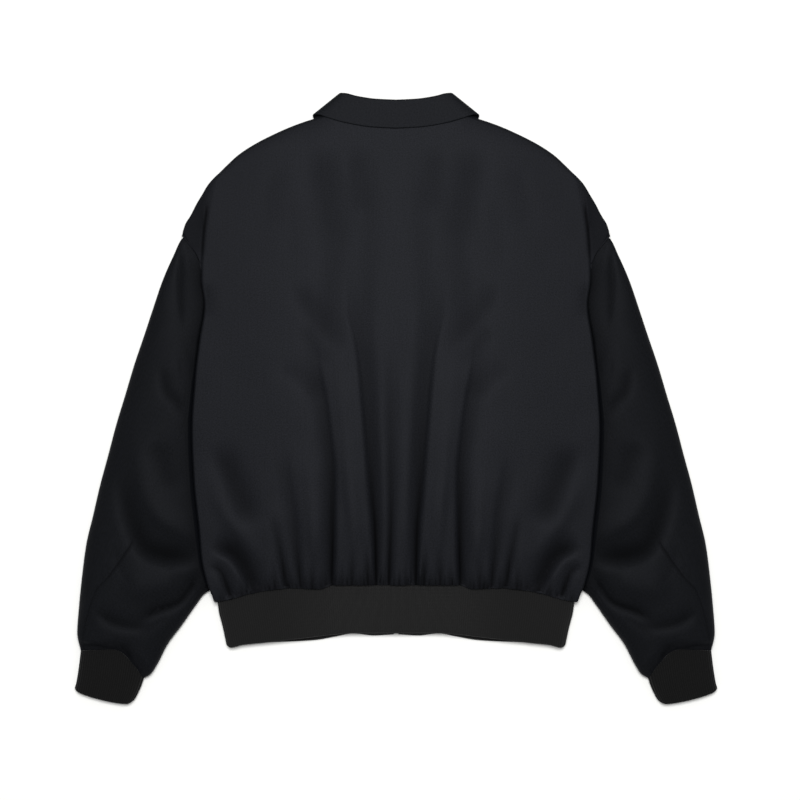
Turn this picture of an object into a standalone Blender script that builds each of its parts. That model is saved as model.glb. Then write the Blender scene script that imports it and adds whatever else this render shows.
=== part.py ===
"""A short zip jacket with rib hem and cuffs, closed and laid face down on a flat surface.

X runs across the jacket, +Y towards the collar, +Z up from the surface it lies on.
The back panel is on top, so the wearer's left side is at -X. Tables are in
millimetres with positive X outward; pairs are mirrored. Meshes are in metres.
"""
import math

import bpy
import numpy as np

MM = 0.001

# Driving dimensions, millimetres
CLOTH = 1.2             # body and sleeve cloth
COLLAR_CLOTH = 1.6      # two layers and interlining
RIB = 2.4               # folded rib knit
SEAM_GAP = 0.4          # between pieces that are sewn together
SIDE_TURN = 12.0        # side seam lies this far in from the body's side fold
SIDE_ROUND = 9.0        # plan width of the rounded side fold
SHOULDER_ROUND = 7.0    # plan width of the rounded shoulder edge
SHOULDER_SEAM_Z = 6.4   # the shoulder seam lies on the outline at this height
UNDERARM_Y = 20.0
NOTCH_Y = 205.0         # where shoulder, armhole and sleeve meet
LOBE_LIFT = 8.8         # fronts pass this high over the folded sleeve
COLLAR_LIFT = 2.4       # fronts pass this high over the collar's front falls
ZIP_LIFT = 4.3          # fronts rise this high over the slider
RIB_TOP = 14.0          # height of the flattened hem band
RIB_HALF = 223.8        # half width of the hem band at its seam
CUFF_TOP = 12.0
FLOOR_CLEAR = 0.3       # lowest the inside of a sleeve's wall may come
CHAIN_HALF = 2.6        # half width of the zip chain
TAPE_WIDTH = 14.0
TAPE = 0.7              # zip tape thickness
TEETH_APART = 0.2       # each half of the chain stops this far from the centre
CHAIN_LOW = 0.3         # chain's lowest face above the fronts' lower surface
ZIP_TOP_Y = 261.0
ZIP_BOTTOM_Y = -288.0
SLIDER_Y = 243.0        # hinge axis of the pull tab

# Outline of the body's side fold: (y, half width)
SIDE_FOLD = (
    (-252.5, 227.5), (-244, 230), (-231, 235), (-200, 242.5), (-162, 246), (-100, 252.5),
    (-37, 255), (25, 251), (75, 245), (119, 238.8), (150, 242.5), (194, 241), (237, 236),
    (271, 229), (285, 220))
# Outline of the shoulder from the collar to the notch: (half width, y)
SHOULDER = (
    (86, 357.5), (92, 356), (105, 351.3), (112.5, 348.9), (130, 342.5), (155, 331.3),
    (178.8, 318.8), (197.5, 306.3), (211.3, 293.8), (223.8, 281.3), (235, 268.8),
    (242.5, 256.3), (250, 243.8), (256.3, 231.3), (263.8, 218.8), (267.5, 205))
BACK_NECK = ((0, 347), (20, 347.5), (45, 350), (70, 355.5), (86, 357.5))
FRONT_NECK = ((3, 271), (20, 273), (40, 281), (60, 301), (74, 327), (86, 357.5))
# Armhole edge of back and front: (y, half width)
BACK_ARMHOLE = ((20, 239), (40, 236), (70, 233), (110, 235), (150, 240), (179, 247.5), (205, 267.5))
FRONT_ARMHOLE = ((20, 239), (40, 237), (70, 236), (110, 238), (150, 244), (180, 253), (205, 267.5))
# Height of the back's armhole edge: (y, z)
ARMHOLE_Z = ((20, 9.4), (45, 11.0), (90, 12.0), (182, 13.2), (205, 11.5), (285, 12.0))
# Inner fold of the sleeve where the body lies on it: (y, half width)
SLEEVE_LOBE = (
    (-252, 262), (-244, 246), (-236, 231), (-208, 212), (-170, 196), (-120, 192),
    (-60, 205), (0, 226), (24, 241), (50, 262), (76, 292))
# Visible lower edge of the back panel: (half width, y)
BACK_HEM = ((0, -231), (78, -231), (95, -236), (130, -235), (179, -241), (210, -249), (228, -252))
# Lower edges of the hem band: (half width, y)
RIB_BACK_EDGE = (
    (0, -291.5), (54, -291.5), (80, -293.5), (101, -296), (130, -299.5), (167, -303.5),
    (191, -306), (207, -309.5), (213, -307))
RIB_FRONT_EDGE = (
    (0, -293.5), (28, -295), (54, -292.5), (74, -296), (101, -300.6), (130, -302.5),
    (167, -304), (191, -306), (207, -309.5), (213, -307))
# Height of the back's outer surface: (y, at the side, at the centre)
BACK_HEIGHT = (
    (-252, 19, 20), (-215, 22, 25), (-150, 23, 28), (-40, 22, 27), (60, 21, 24),
    (119, 20.5, 22.5), (200, 18, 20), (271, 14.5, 17), (320, 13.2, 15), (360, 12.4, 13.4))
# The back's lowest rows, where it puffs over the band: above the lower edge, share of
# height, above the lower edge where the side turns under
HEM_PUFF = ((2.8, 0.0, 2.8), (0.6, 0.30, 3.5), (0.0, 0.58, 4.4), (2.4, 0.84, 5.8), (8.0, 1.0, 8.0))
# Cloth columns of the back: distance across, then half width at each y
COLUMN_ACROSS = (0.0, 0.2, 0.42, 1.0)
COLUMN_TROUGH = ((-235, -9), (-40, -7), (119, -5), (250, 0), (360, 0))
COLUMN_INNER = ((-235, 25), (-131, 28), (-37, 34), (50, 42), (119, 56), (181, 58), (360, 50))
COLUMN_SECOND = ((-235, 80), (-131, 78), (-37, 83), (50, 97), (119, 106), (360, 98))

# Folds of the back: side (one or pair), depth and half width at both ends, then points
BACK_FOLDS = (
    ("centre trough", "one", -1.2, -8.5, 10, 4.6,
     ((-3, 250), (-5, 119), (-8, 25), (-6, -50), (-6, -125), (-8, -200), (-9, -232))),
    ("inner trough", "pair", -1.0, -10.5, 15, 4.6,
     ((56, 185), (56, 119), (49, 88), (42, 50), (37.5, 0), (33, -62), (29, -125), (26, -165), (25, -232))),
    ("inner ridge", "pair", 1.0, 3.4, 15, 6.5,
     ((27, 212), (24, 100), (20, 25), (16, -62), (13.5, -131), (11, -215))),
    ("second trough", "pair", -0.8, -9.5, 12, 4.6,
     ((105, 112), (99, 40), (91, 0), (84, -50), (79.5, -88), (79, -162), (80, -233))),
    ("second ridge", "pair", 0.8, 4.0, 18, 9.0,
     ((74, 100), (66, 0), (57, -100), (52, -165), (50, -212))),
    ("third trough", "pair", -0.8, -5.5, 13, 5.0,
     ((144, -40), (136, -100), (127, -150), (122, -200), (118, -233))),
    ("third ridge", "pair", 0.5, 3.4, 18, 8.0,
     ((112, -50), (104, -120), (99, -212))),
    ("fourth trough", "pair", -1.0, -5.0, 7, 4.4,
     ((156, -135), (147, -175), (141, -205), (137, -234))),
    ("side hollow", "pair", -4.5, -2.0, 13, 12,
     ((214, -69), (205, -100), (191, -130), (181, -152))),
    ("side ridge", "pair", 1.0, 3.0, 14, 9,
     ((228, -95), (216, -130), (196, -165), (170, -212))),
    ("corner trough", "pair", -3.0, -7.0, 7, 5.0,
     ((228, -172), (205, -178), (189, -200), (176, -238))),
    ("low corner trough", "pair", -3.0, -5.0, 6, 4.5,
     ((233, -204), (219, -213), (207, -243))),
    ("blade hollow", "pair", -4.5, -0.8, 12, 15,
     ((95, 298), (88, 280), (80, 258))),
    ("outer blade hollow", "pair", -1.8, -1.0, 10, 12,
     ((146, 281), (157, 250))),
    ("blade crease", "pair", -1.4, -0.8, 8, 12,
     ((126, 236), (127, 190))),
    ("neck hollow", "pair", -1.6, -0.6, 9, 12,
     ((49, 290), (47, 262))),
    ("upper diagonal", "pair", -2.8, -1.2, 9, 12,
     ((112, 125), (95, 100), (70, 75))),
    ("middle diagonal", "pair", -1.8, -1.0, 8, 9,
     ((107, 69), (94, 48))),
    ("lower diagonal", "pair", -1.4, -2.2, 10, 9,
     ((146, 25), (103, 18), (86, -8))),
    ("kink crease", "pair", -3.0, -1.0, 5, 6,
     ((233, 137), (236, 110))),
)
# Short gathers above the hem seam: x at the seam, length, depth, half width
HEM_GATHERS = (
    (13, 30, 1.6, 3.0), (35, 62, 3.6, 3.4), (44, 26, 1.4, 3.0), (55, 60, 2.6, 4.0),
    (67, 34, 1.6, 3.4), (93, 30, 1.8, 3.6), (104, 52, 2.6, 3.8), (112, 26, 1.4, 3.2),
    (129, 30, 1.6, 3.4), (151, 44, 2.4, 4.0), (163, 26, 1.6, 3.6), (192, 30, 2.0, 4.2),
    (219, 20, 1.6, 4.0))

# Sleeve edges in plan, from shoulder or underarm to the cuff seam
SLEEVE_OUTER = (
    (268.0, 203.6), (271.0, 201), (280, 181), (290, 156), (302.5, 119), (315, 81), (327.5, 44),
    (338.8, 6), (350, -31), (360, -69), (370, -106), (378.8, -144), (387.5, -181),
    (392.5, -219), (396.3, -256), (398.6, -290), (394.5, -313))
SLEEVE_INNER = (
    (239.6, 20.4), (236, 8), (224, -8), (205, -60), (192, -120), (197, -170), (212, -207),
    (231, -236), (241, -244), (250, -256), (267.5, -281), (286, -306), (299, -331), (307, -343),
    (315.5, -348))
# How far a section's inner end has come, by the share of its outer end
INNER_PACE = ((0, 0), (0.1, 0.01), (0.2, 0.035), (0.3, 0.10), (0.5, 0.36), (0.75, 0.72), (1, 1))
# Sleeve section along its length: share, height, mid height of outer and of inner fold
SLEEVE_SECTIONS = (
    (0.00, 12.4, 6.4, 3.2), (0.05, 16, 6.4, 3.0), (0.15, 22, 6.4, 3.0), (0.30, 26, 6.6, 3.0),
    (0.45, 29, 7.0, 3.0), (0.60, 31, 7.2, 3.4), (0.75, 30, 7.2, 5.0), (0.88, 28, 7.0, 6.2),
    (0.955, 26, 6.6, 6.2), (0.985, 20, 6.2, 6.0), (1.00, 12.8, 6.0, 6.0))
SLEEVE_RINGS = (
    0.0, 0.02, 0.05, 0.10, 0.16, 0.23, 0.30, 0.37, 0.44, 0.50, 0.56, 0.62, 0.68, 0.74, 0.80,
    0.86, 0.91, 0.955, 0.985, 1.0)
# Where the two sleeve seams cross a section, as a share from outer to inner fold
BACK_ARM_SEAM = (
    (0.0, 0.80), (0.32, 0.633), (0.52, 0.41), (0.60, 0.355), (0.68, 0.345), (0.735, 0.32),
    (0.79, 0.258), (0.845, 0.16), (0.893, 0.13), (1.0, 0.07))
FRONT_ARM_SEAM = ((0.0, 0.80), (0.5, 0.60), (1.0, 0.40))
# How the cuff seam bends off its straight line: share across, rise
CUFF_BEND = ((0, 0), (0.28, 10.5), (0.62, 21), (0.84, 12), (1, 0))
SLEEVE_FOLDS = (
    ("shoulder crease", "pair", -2.0, -1.0, 5, 7, ((270, 196), (269, 150), (264, 106), (260, 80))),
    ("elbow crease", "pair", -2.0, -3.5, 8, 8, ((292, 46), (286, 12), (270, -6), (264, -26))),
    ("elbow hollow", "pair", -2.5, -2.0, 12, 12, ((295, -66), (277, -100))),
    ("main ridge", "pair", 1.5, 5.0, 16, 12,
     ((322, -20), (318, -92), (296, -137), (254, -157), (225, -160))),
    ("main trough", "pair", -1.5, -9.0, 12, 12,
     ((346, -78), (333, -131), (305, -175), (258, -182), (225, -186))),
    ("lower puff", "pair", 1.5, 2.5, 22, 18, ((335, -215), (290, -215), (260, -210))),
    ("underarm trough", "pair", -4.5, -5.0, 5, 7,
     ((240, -204), (251, -226), (271, -252), (301, -263), (327, -281))),
    ("small trough", "pair", -3.0, -1.0, 6, 7, ((358, -262), (332, -262))),
    ("cuff crease", "pair", -2.0, -4.0, 6, 5, ((345, -300), (328, -326))),
)

# Cuff edges in plan from the sleeve seam to the wrist
CUFF_OUTER = ((394.5, -313), (396.5, -330), (399.5, -350), (402.5, -364))
CUFF_INNER = ((315.5, -348), (318.5, -357), (324, -369), (331, -381))
CUFF_HALF_Z = 6.0

# Collar along its length: share from the centre back, then neck seam, fold and outer edge
# as x, y, z of the mid cloth
COLLAR_STATIONS = (
    # share, seam x, y, z,   fold x, y, z,      edge x, y, z
    (0.00, 0, 347.6, 14.2, 0, 374.4, 14.2, 0, 338.8, 14.4),
    (0.16, 26, 348.6, 14.2, 25, 375.6, 14.2, 30, 340.4, 14.3),
    (0.30, 52, 352.0, 14.0, 48, 379.0, 14.0, 62, 345.6, 14.1),
    (0.40, 72, 357.0, 13.0, 62, 382.6, 13.2, 86, 352.4, 13.6),
    (0.46, 80.5, 361.6, 10.8, 67.4, 383.2, 11.4, 98, 356.4, 12.0),
    (0.50, 82.5, 362.6, 7.6, 68.4, 383.4, 7.6, 103.0, 355.4, 7.8),
    (0.54, 80.5, 360.6, 4.8, 67.0, 382.0, 4.2, 102.6, 351.6, 3.4),
    (0.60, 74, 344.0, 2.6, 60, 371.0, 2.3, 99, 334.0, 2.1),
    (0.70, 63, 310.5, 2.1, 48, 333.0, 2.1, 90, 296.0, 2.1),
    (0.82, 42, 286.0, 2.15, 30, 306.0, 2.1, 77, 252.0, 2.1),
    (0.92, 22, 277.0, 2.7, 15, 293.0, 2.15, 66, 224.0, 2.1),
    (1.00, 4, 275.0, 3.6, 4, 288.0, 2.4, 60, 213.0, 2.1))
COLLAR_ACROSS = (0.0, 0.2, 0.4, 0.475, 0.492, 0.5, 0.508, 0.525, 0.56, 0.62, 0.8, 1.0)
COLLAR_APART = 1.25     # half the distance between stand and fall


# ---------------------------------------------------------------- small tools
def smooth(rows, at, value=1):
    """Read a table at given places with a monotone cubic, flat beyond its ends."""
    xs = np.array([row[0] for row in rows], float)
    ys = np.array([row[value] for row in rows], float)
    at = np.clip(np.asarray(at, float), xs[0], xs[-1])
    step = np.diff(xs)
    rise = np.diff(ys) / step
    slope = np.zeros(len(xs))
    same = rise[:-1] * rise[1:] > 0
    before, after = rise[:-1][same], rise[1:][same]
    slope[1:-1][same] = 2 * before * after / (before + after)
    slope[0], slope[-1] = rise[0], rise[-1]
    k = np.clip(np.searchsorted(xs, at) - 1, 0, len(xs) - 2)
    t = (at - xs[k]) / step[k]
    return (ys[k] * (1 + 2 * t) * (1 - t) ** 2 + slope[k] * step[k] * t * (1 - t) ** 2
            + ys[k + 1] * t * t * (3 - 2 * t) - slope[k + 1] * step[k] * t * t * (1 - t))


def ease(t):
    t = np.clip(t, 0.0, 1.0)
    return t * t * (3 - 2 * t)


def mix(a, b, t):
    return a + (b - a) * t


def soft_least(a, b, blend):
    """The smaller of two heights, rounded over a blend."""
    h = np.clip(0.5 + 0.5 * (b - a) / blend, 0, 1)
    return mix(b, a, h) - blend * h * (1 - h)


def path(points, share):
    """A point at a share of the way along a smooth plan line."""
    points = np.array(points, float)
    length = np.concatenate([[0], np.cumsum(np.hypot(*np.diff(points, axis=0).T))])
    length /= length[-1]
    x = smooth(np.column_stack([length, points[:, 0]]), share)
    y = smooth(np.column_stack([length, points[:, 1]]), share)
    return x, y


def distance_along(x, y, points):
    """Distance to a smooth line, and the share along it of the nearest place."""
    line_x, line_y = path(points, np.linspace(0, 1, 17))
    best = np.full(np.shape(x), 1e9)
    share = np.zeros(np.shape(x))
    for k in range(16):
        dx, dy = line_x[k + 1] - line_x[k], line_y[k + 1] - line_y[k]
        t = np.clip(((x - line_x[k]) * dx + (y - line_y[k]) * dy) / (dx * dx + dy * dy), 0, 1)
        gap = np.hypot(x - line_x[k] - t * dx, y - line_y[k] - t * dy)
        share = np.where(gap < best, (k + t) / 16, share)
        best = np.minimum(best, gap)
    return best, share


def fold_heights(x, y, folds):
    total = np.zeros(np.shape(x))
    for _, side, depth_a, depth_b, width_a, width_b, points in folds:
        across = x if side == "one" else np.abs(x)
        gap, share = distance_along(across, y, points)
        width = mix(width_a, width_b, share)
        total += mix(depth_a, depth_b, share) * np.exp(-(gap / width) ** 2)
    return total


def gather_heights(x, y, hem_y):
    total = np.zeros(np.shape(x))
    for at, length, depth, width in HEM_GATHERS:
        fade = 1 - ease((y - hem_y) / length)
        total -= depth * fade * np.exp(-((np.abs(x) - at) / width) ** 2)
    return total


def grid_normals(points, looped):
    """Unit normals of a grid of points, rows first."""
    if looped:
        along = np.roll(points, -1, axis=1) - np.roll(points, 1, axis=1)
    else:
        along = np.gradient(points, axis=1)
    down = np.gradient(points, axis=0)
    normal = np.cross(along, down)
    return normal / np.maximum(np.linalg.norm(normal, axis=2, keepdims=True), 1e-9)


def cloth_material(name, colour, roughness, metallic=0.0):
    material = bpy.data.materials.new(name)
    material.use_nodes = True
    shader = material.node_tree.nodes["Principled BSDF"]
    shader.inputs["Base Color"].default_value = (*colour, 1.0)
    shader.inputs["Roughness"].default_value = roughness
    shader.inputs["Metallic"].default_value = metallic
    return material


def add_body(name, points, triangles, material):
    """An object from points in millimetres, its faces turned outward."""
    points = np.array(points, float) * MM
    triangles = np.array(triangles)
    a, b, c = (points[triangles[:, k]] for k in range(3))
    if np.einsum("ij,ij->i", a, np.cross(b, c)).sum() < 0:
        triangles = triangles[:, ::-1]
    mesh = bpy.data.meshes.new(name)
    mesh.from_pydata(points.tolist(), [], triangles.tolist())
    mesh.materials.append(material)
    mesh.shade_smooth()
    mesh.set_sharp_from_angle(angle=math.radians(50))
    body = bpy.data.objects.new(name, mesh)
    bpy.context.scene.collection.objects.link(body)
    return body


def add_wall(name, outer, inner, material, looped=False):
    """A closed wall between two grids of points, open at its ends and sides."""
    rows, cols = outer.shape[:2]
    back = rows * cols
    quads = []
    for i in range(rows - 1):
        for j in range(cols if looped else cols - 1):
            k = (j + 1) % cols
            corner = (i * cols + j, (i + 1) * cols + j, (i + 1) * cols + k, i * cols + k)
            quads.append(corner)
            quads.append(tuple(back + c for c in reversed(corner)))
    for j in range(cols if looped else cols - 1):
        k = (j + 1) % cols
        quads.append((j, k, back + k, back + j))
        low = (rows - 1) * cols
        quads.append((low + k, low + j, back + low + j, back + low + k))
    if not looped:
        for i in range(rows - 1):
            near, far = i * cols, (i + 1) * cols
            quads.append((far, near, back + near, back + far))
            near, far = near + cols - 1, far + cols - 1
            quads.append((near, far, back + far, back + near))
    triangles = [t for a, b, c, d in quads for t in ((a, b, c), (a, c, d))]
    points = np.vstack([outer.reshape(-1, 3), inner.reshape(-1, 3)])
    return add_body(name, points, triangles, material)


def mirrored(points, side):
    return points * np.array([side, 1.0, 1.0])


# ---------------------------------------------------------------- body shape
def side_x(y):
    return smooth(SIDE_FOLD, y)


def shoulder_x(y):
    rows = [(y_, x_) for x_, y_ in reversed(SHOULDER)]
    return smooth(rows, y)


def seam_half_width(y, armhole):
    """Outer boundary of a body panel: side seam, then armhole, then shoulder."""
    below = side_x(y) - SIDE_TURN
    arm = smooth(armhole, y)
    return np.where(y < UNDERARM_Y, below, np.where(y < NOTCH_Y, arm, shoulder_x(y)))


def front_lift(x, y):
    """Height of the fronts' lower surface: flat on the floor, raised over what lies below."""
    across = np.abs(x)
    lobe = smooth(SLEEVE_LOBE, y)
    over_sleeve = LOBE_LIFT * ease((across - lobe + 34) / 30)
    over_collar = COLLAR_LIFT * ease((y - 158) / 26) * (1 - ease((across - 112) / 30))
    over_slider = ZIP_LIFT * ease((y - 176) / 24) * (1 - ease((across - 7) / 26))
    return np.maximum(over_sleeve, np.maximum(over_collar, over_slider))


def seam_z(y):
    """Height of the back panel's outer boundary."""
    side = front_lift(side_x(y) - SIDE_TURN, y)
    return np.where(y < UNDERARM_Y, side, smooth(ARMHOLE_Z, y))


def hem_y(x):
    return smooth(BACK_HEM, np.abs(x))


def top_y(x, neck):
    across = np.abs(x)
    return np.where(across < SHOULDER[0][0], smooth(neck, across), smooth(SHOULDER, across))


def shoulder_slope(x):
    across = np.abs(x)
    return (smooth(SHOULDER, across + 1.5) - smooth(SHOULDER, across - 1.5)) / 3.0


def shoulder_share(x):
    """0 along the neck, 1 along the shoulder."""
    return ease((np.abs(x) - 72) / 20)


def round_width(x):
    """Rounding of the shoulder edge, measured along Y."""
    slope = np.clip(shoulder_slope(x), -2.2, 2.2)
    return SHOULDER_ROUND * np.sqrt(1 + slope ** 2)


def top_normal(x, side_normal_z):
    """Direction of the wall at the top edge: outward on the shoulder, upright at the neck."""
    slope = shoulder_slope(x)
    share = shoulder_share(x)
    out = np.stack([-slope * np.sign(x), np.ones_like(slope), np.zeros_like(slope)], axis=-1)
    out /= np.linalg.norm(out, axis=-1, keepdims=True)
    flat = np.stack([0 * slope, 0 * slope, side_normal_z + 0 * slope], axis=-1)
    both = flat * (1 - share)[..., None] + out * share[..., None]
    return both / np.linalg.norm(both, axis=-1, keepdims=True)


def back_surface_z(x, y):
    """Outer surface of the back over the body, with its folds."""
    half = side_x(y)
    at_side = smooth(BACK_HEIGHT, y, 1)
    at_centre = smooth(BACK_HEIGHT, y, 2)
    base = mix(at_centre, at_side, np.clip(np.abs(x) / half, 0, 1) ** 2)
    folds = fold_heights(x, y, BACK_FOLDS) + gather_heights(x, y, hem_y(x))
    floor = 16.0 * (1 - ease((y - 150) / 100))
    return np.maximum(base + folds, floor)


def back_column_x(across, y):
    """Half of the cloth columns, -1 to 1, follow the gathers up the back."""
    shift = smooth(COLUMN_TROUGH, y)
    inner = smooth(COLUMN_INNER, y)
    second = smooth(COLUMN_SECOND, y)
    crest = side_x(y) - SIDE_ROUND
    u0, u1, u2, u3 = COLUMN_ACROSS
    share = np.abs(across)
    sign = np.where(across < 0, -1.0, 1.0)
    first = mix(shift, sign * inner, share / u1)
    middle = sign * mix(inner, second, (share - u1) / (u2 - u1))
    outer = sign * mix(second, crest, (share - u2) / (u3 - u2))
    return np.where(share < u1, first, np.where(share < u2, middle, outer))


def back_edge_section(share, y, top_z):
    """The rounded side: over the fold, down, then to the side seam or armhole edge."""
    edge_x, edge_z = side_x(y), seam_z(y)
    end_x = seam_half_width(y, BACK_ARMHOLE)
    middle_z = 0.5 * (top_z + edge_z)
    angle = np.clip(share * 2, 0, 1) * math.pi / 2
    over_x = edge_x - SIDE_ROUND + SIDE_ROUND * np.sin(angle)
    over_z = middle_z + (top_z - middle_z) * np.cos(angle)
    t = np.clip(share * 2 - 1, 0, 1)
    under_x = edge_x * (1 - t) ** 2 + 2 * edge_x * t * (1 - t) + end_x * t * t
    under_z = middle_z * (1 - t) ** 2 + 2 * edge_z * t * (1 - t) + edge_z * t * t
    return np.where(share < 0.5, over_x, under_x), np.where(share < 0.5, over_z, under_z)


def back_points(across, rise, top_angles):
    """Outer grid of the back: rows from the hem to the shoulder, columns side to side.

    across beyond +-1 runs over the side fold; rise is the share of the height;
    the last rows run round the shoulder edge by top_angles.
    """
    across = np.asarray(across, float)
    sign = np.where(across < 0, -1.0, 1.0)
    beyond = np.clip(np.abs(across) - 1, 0, 1)
    inner = np.clip(across, -1, 1)
    crest_top = SIDE_FOLD[-1][1]
    top_x = np.where(beyond > 0, mix(crest_top, SHOULDER[-1][0], beyond),
                     np.abs(back_column_x(inner, np.full_like(inner, 345.0))))
    end_y = top_y(top_x, BACK_NECK) - 0.5 * SEAM_GAP * (1 - shoulder_share(top_x))
    round_y = round_width(top_x)
    low_y = hem_y(back_column_x(inner, np.full_like(inner, -240.0)))
    under = ease((beyond - 0.2) / 0.4)
    rows = []
    for k, (above, share, above_under) in enumerate(HEM_PUFF):
        seam_half = 0.5 * SEAM_GAP * (k == 0) + 1.6 * under
        rows.append((low_y + mix(above, above_under, under) + seam_half, share))
    start = rows[-1][0]
    for value in rise:
        rows.append((mix(start, end_y - round_y, value), 1.0))
    for angle in top_angles:
        rows.append((end_y - round_y * (1 - math.sin(angle)), 1.0))
    grid = []
    for y, puff in rows:
        x = back_column_x(inner, y)
        lift = np.maximum(1 - (end_y - y) / 95.0, 0) * (beyond > 0)
        share = np.clip(beyond, 1e-6, 1) ** (1 - ease(lift))
        z = back_surface_z(x, y)
        hem_low = RIB_TOP + 1.0
        z = mix(hem_low, z, puff)
        side_half, side_z = back_edge_section(share, y, z)
        x = np.where(beyond > 0, sign * side_half, x)
        z = np.where(beyond > 0, side_z, z)
        tuck = mix(RIB_HALF / side_x(-250.0), 1.0, ease(puff * 1.6))
        x = x * tuck
        near = np.clip((end_y - y) / round_y, 0, 1)
        fall = np.sqrt(np.clip(1 - (1 - near) ** 2, 0, 1))
        seam = SHOULDER_SEAM_Z + 0.5 * SEAM_GAP
        z = mix(z, seam + (z - seam) * fall, shoulder_share(top_x))
        grid.append(np.stack([x, y + 0 * x, z], axis=-1))
    return np.array(grid), top_x * sign


def build_back(material):
    inner_u = np.concatenate([np.linspace(0, 0.2, 7)[:-1], np.linspace(0.2, 0.42, 9)[:-1],
                              np.linspace(0.42, 1, 13)])
    side_u = 1 + np.array([0.22, 0.5, 0.75, 1.0])
    half = np.concatenate([inner_u, side_u])
    across = np.concatenate([-half[::-1][:-1], half])
    rise = np.concatenate([[0.012, 0.03, 0.055], 1 - (1 - np.linspace(0, 1, 17)[1:]) ** 1.35])
    angles = np.radians([38, 70, 90])
    outer, top = back_points(across, rise, angles)
    normal = -grid_normals(outer, False)
    if normal[10, len(across) // 2, 2] < 0:
        normal = -normal
    normal[-1] = top_normal(top, 1.0)
    seam_y = outer[:, 0, 1]
    level = seam_y < UNDERARM_Y - 8
    normal[level, 0] = (0, 0, -1)
    normal[level, -1] = (0, 0, -1)
    add_wall("back_panel", outer, outer - normal * CLOTH, material)


def front_points(across, rise, top_angles):
    """Outer (lower) grid of one front, from the zip edge to side seam and armhole."""
    across = np.asarray(across, float)
    edge = CHAIN_HALF + 0.4
    end_x = SHOULDER[-1][0]
    top_x = mix(edge, end_x, across)
    end_y = top_y(top_x, FRONT_NECK) - 0.5 * SEAM_GAP * (1 - shoulder_share(top_x))
    round_y = round_width(top_x)
    low_x = mix(edge, seam_half_width(-250.0, FRONT_ARMHOLE) - 2 * SEAM_GAP, across)
    low_y = hem_y(low_x) + HEM_PUFF[0][0] + 2 * SEAM_GAP + 3.4 * ease((across - 0.9) / 0.08)
    rows = [mix(low_y, end_y - round_y, value) for value in rise]
    rows += [end_y - round_y * (1 - math.sin(angle)) for angle in top_angles]
    grid = []
    for y in rows:
        low = np.minimum(y, NOTCH_Y - 0.01)
        outline = seam_half_width(low, FRONT_ARMHOLE) - 2 * SEAM_GAP * (low < UNDERARM_Y)
        x = mix(edge, outline, across)
        z = front_lift(x, y)
        near = np.clip((end_y - y) / round_y, 0, 1)
        rise_in = np.sqrt(np.clip(1 - (1 - near) ** 2, 0, 1))
        seam = SHOULDER_SEAM_Z - 0.5 * SEAM_GAP
        z = mix(z, seam - (seam - z) * rise_in, shoulder_share(top_x))
        grid.append(np.stack([x, y + 0 * x, z], axis=-1))
    return np.array(grid), top_x


def build_front(name, side, material):
    across = np.concatenate([[0, 0.035, 0.08, 0.14], np.linspace(0.24, 0.80, 5),
                             [0.86, 0.91, 0.955, 1.0]])
    rise = np.concatenate([[0, 0.03, 0.07], np.linspace(0.14, 0.44, 5), np.linspace(0.48, 0.60, 4),
                           np.linspace(0.66, 1, 8)])
    outer, top = front_points(across, rise, np.radians([38, 70, 90]))
    normal = grid_normals(outer, False)
    if normal[3, 5, 2] > 0:
        normal = -normal
    normal[-1] = top_normal(top, -1.0)
    level = outer[:, -1, 1] < UNDERARM_Y - 8
    normal[level, -1] = (0, 0, -1)
    inner = outer - normal * CLOTH
    add_wall(name, mirrored(outer, side), mirrored(inner, side), material)


# ---------------------------------------------------------------- sleeves
def sleeve_cap(x, y):
    """Highest the sleeve may stand where the body's side lies over it."""
    clear = 1.6
    under = np.where(y < UNDERARM_Y, front_lift(np.minimum(x, side_x(y) - SIDE_TURN), y),
                     smooth(ARMHOLE_Z, y))
    visible = ease((y - 168) / 14)
    return under - clear * (1 - visible) + 1.15 * np.maximum(0, x - side_x(y) - 1.0) + 60 * ease((y - 182) / 10)


def sleeve_points(theta, share):
    """Outer surface of the sleeve: theta 0 outer fold, over the top to pi, the inner fold."""
    theta, share = np.broadcast_arrays(np.asarray(theta, float), np.asarray(share, float))
    across = (1 - np.cos(theta)) / 2
    on_top = np.sin(theta) >= 0
    lean = np.abs(np.sin(theta))
    outer_x, outer_y = path(SLEEVE_OUTER, share)
    inner_x, inner_y = path(SLEEVE_INNER, smooth(INNER_PACE, share))
    x, y = mix(outer_x, inner_x, across), mix(outer_y, inner_y, across)
    armhole = 1 - ease(share / 0.14)
    mouth_y = mix(SLEEVE_OUTER[0][1], SLEEVE_INNER[0][1], across)
    edge = np.where(on_top, smooth(BACK_ARMHOLE, mouth_y), smooth(FRONT_ARMHOLE, mouth_y))
    x = x + (edge + 3 * SEAM_GAP - mix(SLEEVE_OUTER[0][0], SLEEVE_INNER[0][0], across)) * armhole
    cuff = ease((share - 0.86) / 0.14)
    y = y + smooth(CUFF_BEND, across) * cuff * np.where(on_top, 1.0, 0.35)
    height = smooth(SLEEVE_SECTIONS, share, 1)
    fold_z = mix(smooth(SLEEVE_SECTIONS, share, 2), smooth(SLEEVE_SECTIONS, share, 3), ease(across))
    dome = lean ** mix(0.45, 0.8, ease(share / 0.12) * ease((1 - share) / 0.08))
    top = fold_z + (height - fold_z) * dome + fold_heights(x, y, SLEEVE_FOLDS) * np.minimum(lean * 1.6, 1)
    top = np.maximum(top, fold_z + 0.5 * lean)
    low_cap = sleeve_cap(x, y)
    top = soft_least(top, low_cap, 2.0)
    top = np.maximum(top, fold_z * (1 - lean) + np.minimum(low_cap, fold_z) * lean)
    bottom = fold_z * np.maximum(0, 1 - lean / 0.34) ** 2
    return np.stack([x, y, np.where(on_top, top, bottom)], axis=-1)


def section_angle(share_across):
    return np.arccos(1 - 2 * share_across)


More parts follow.
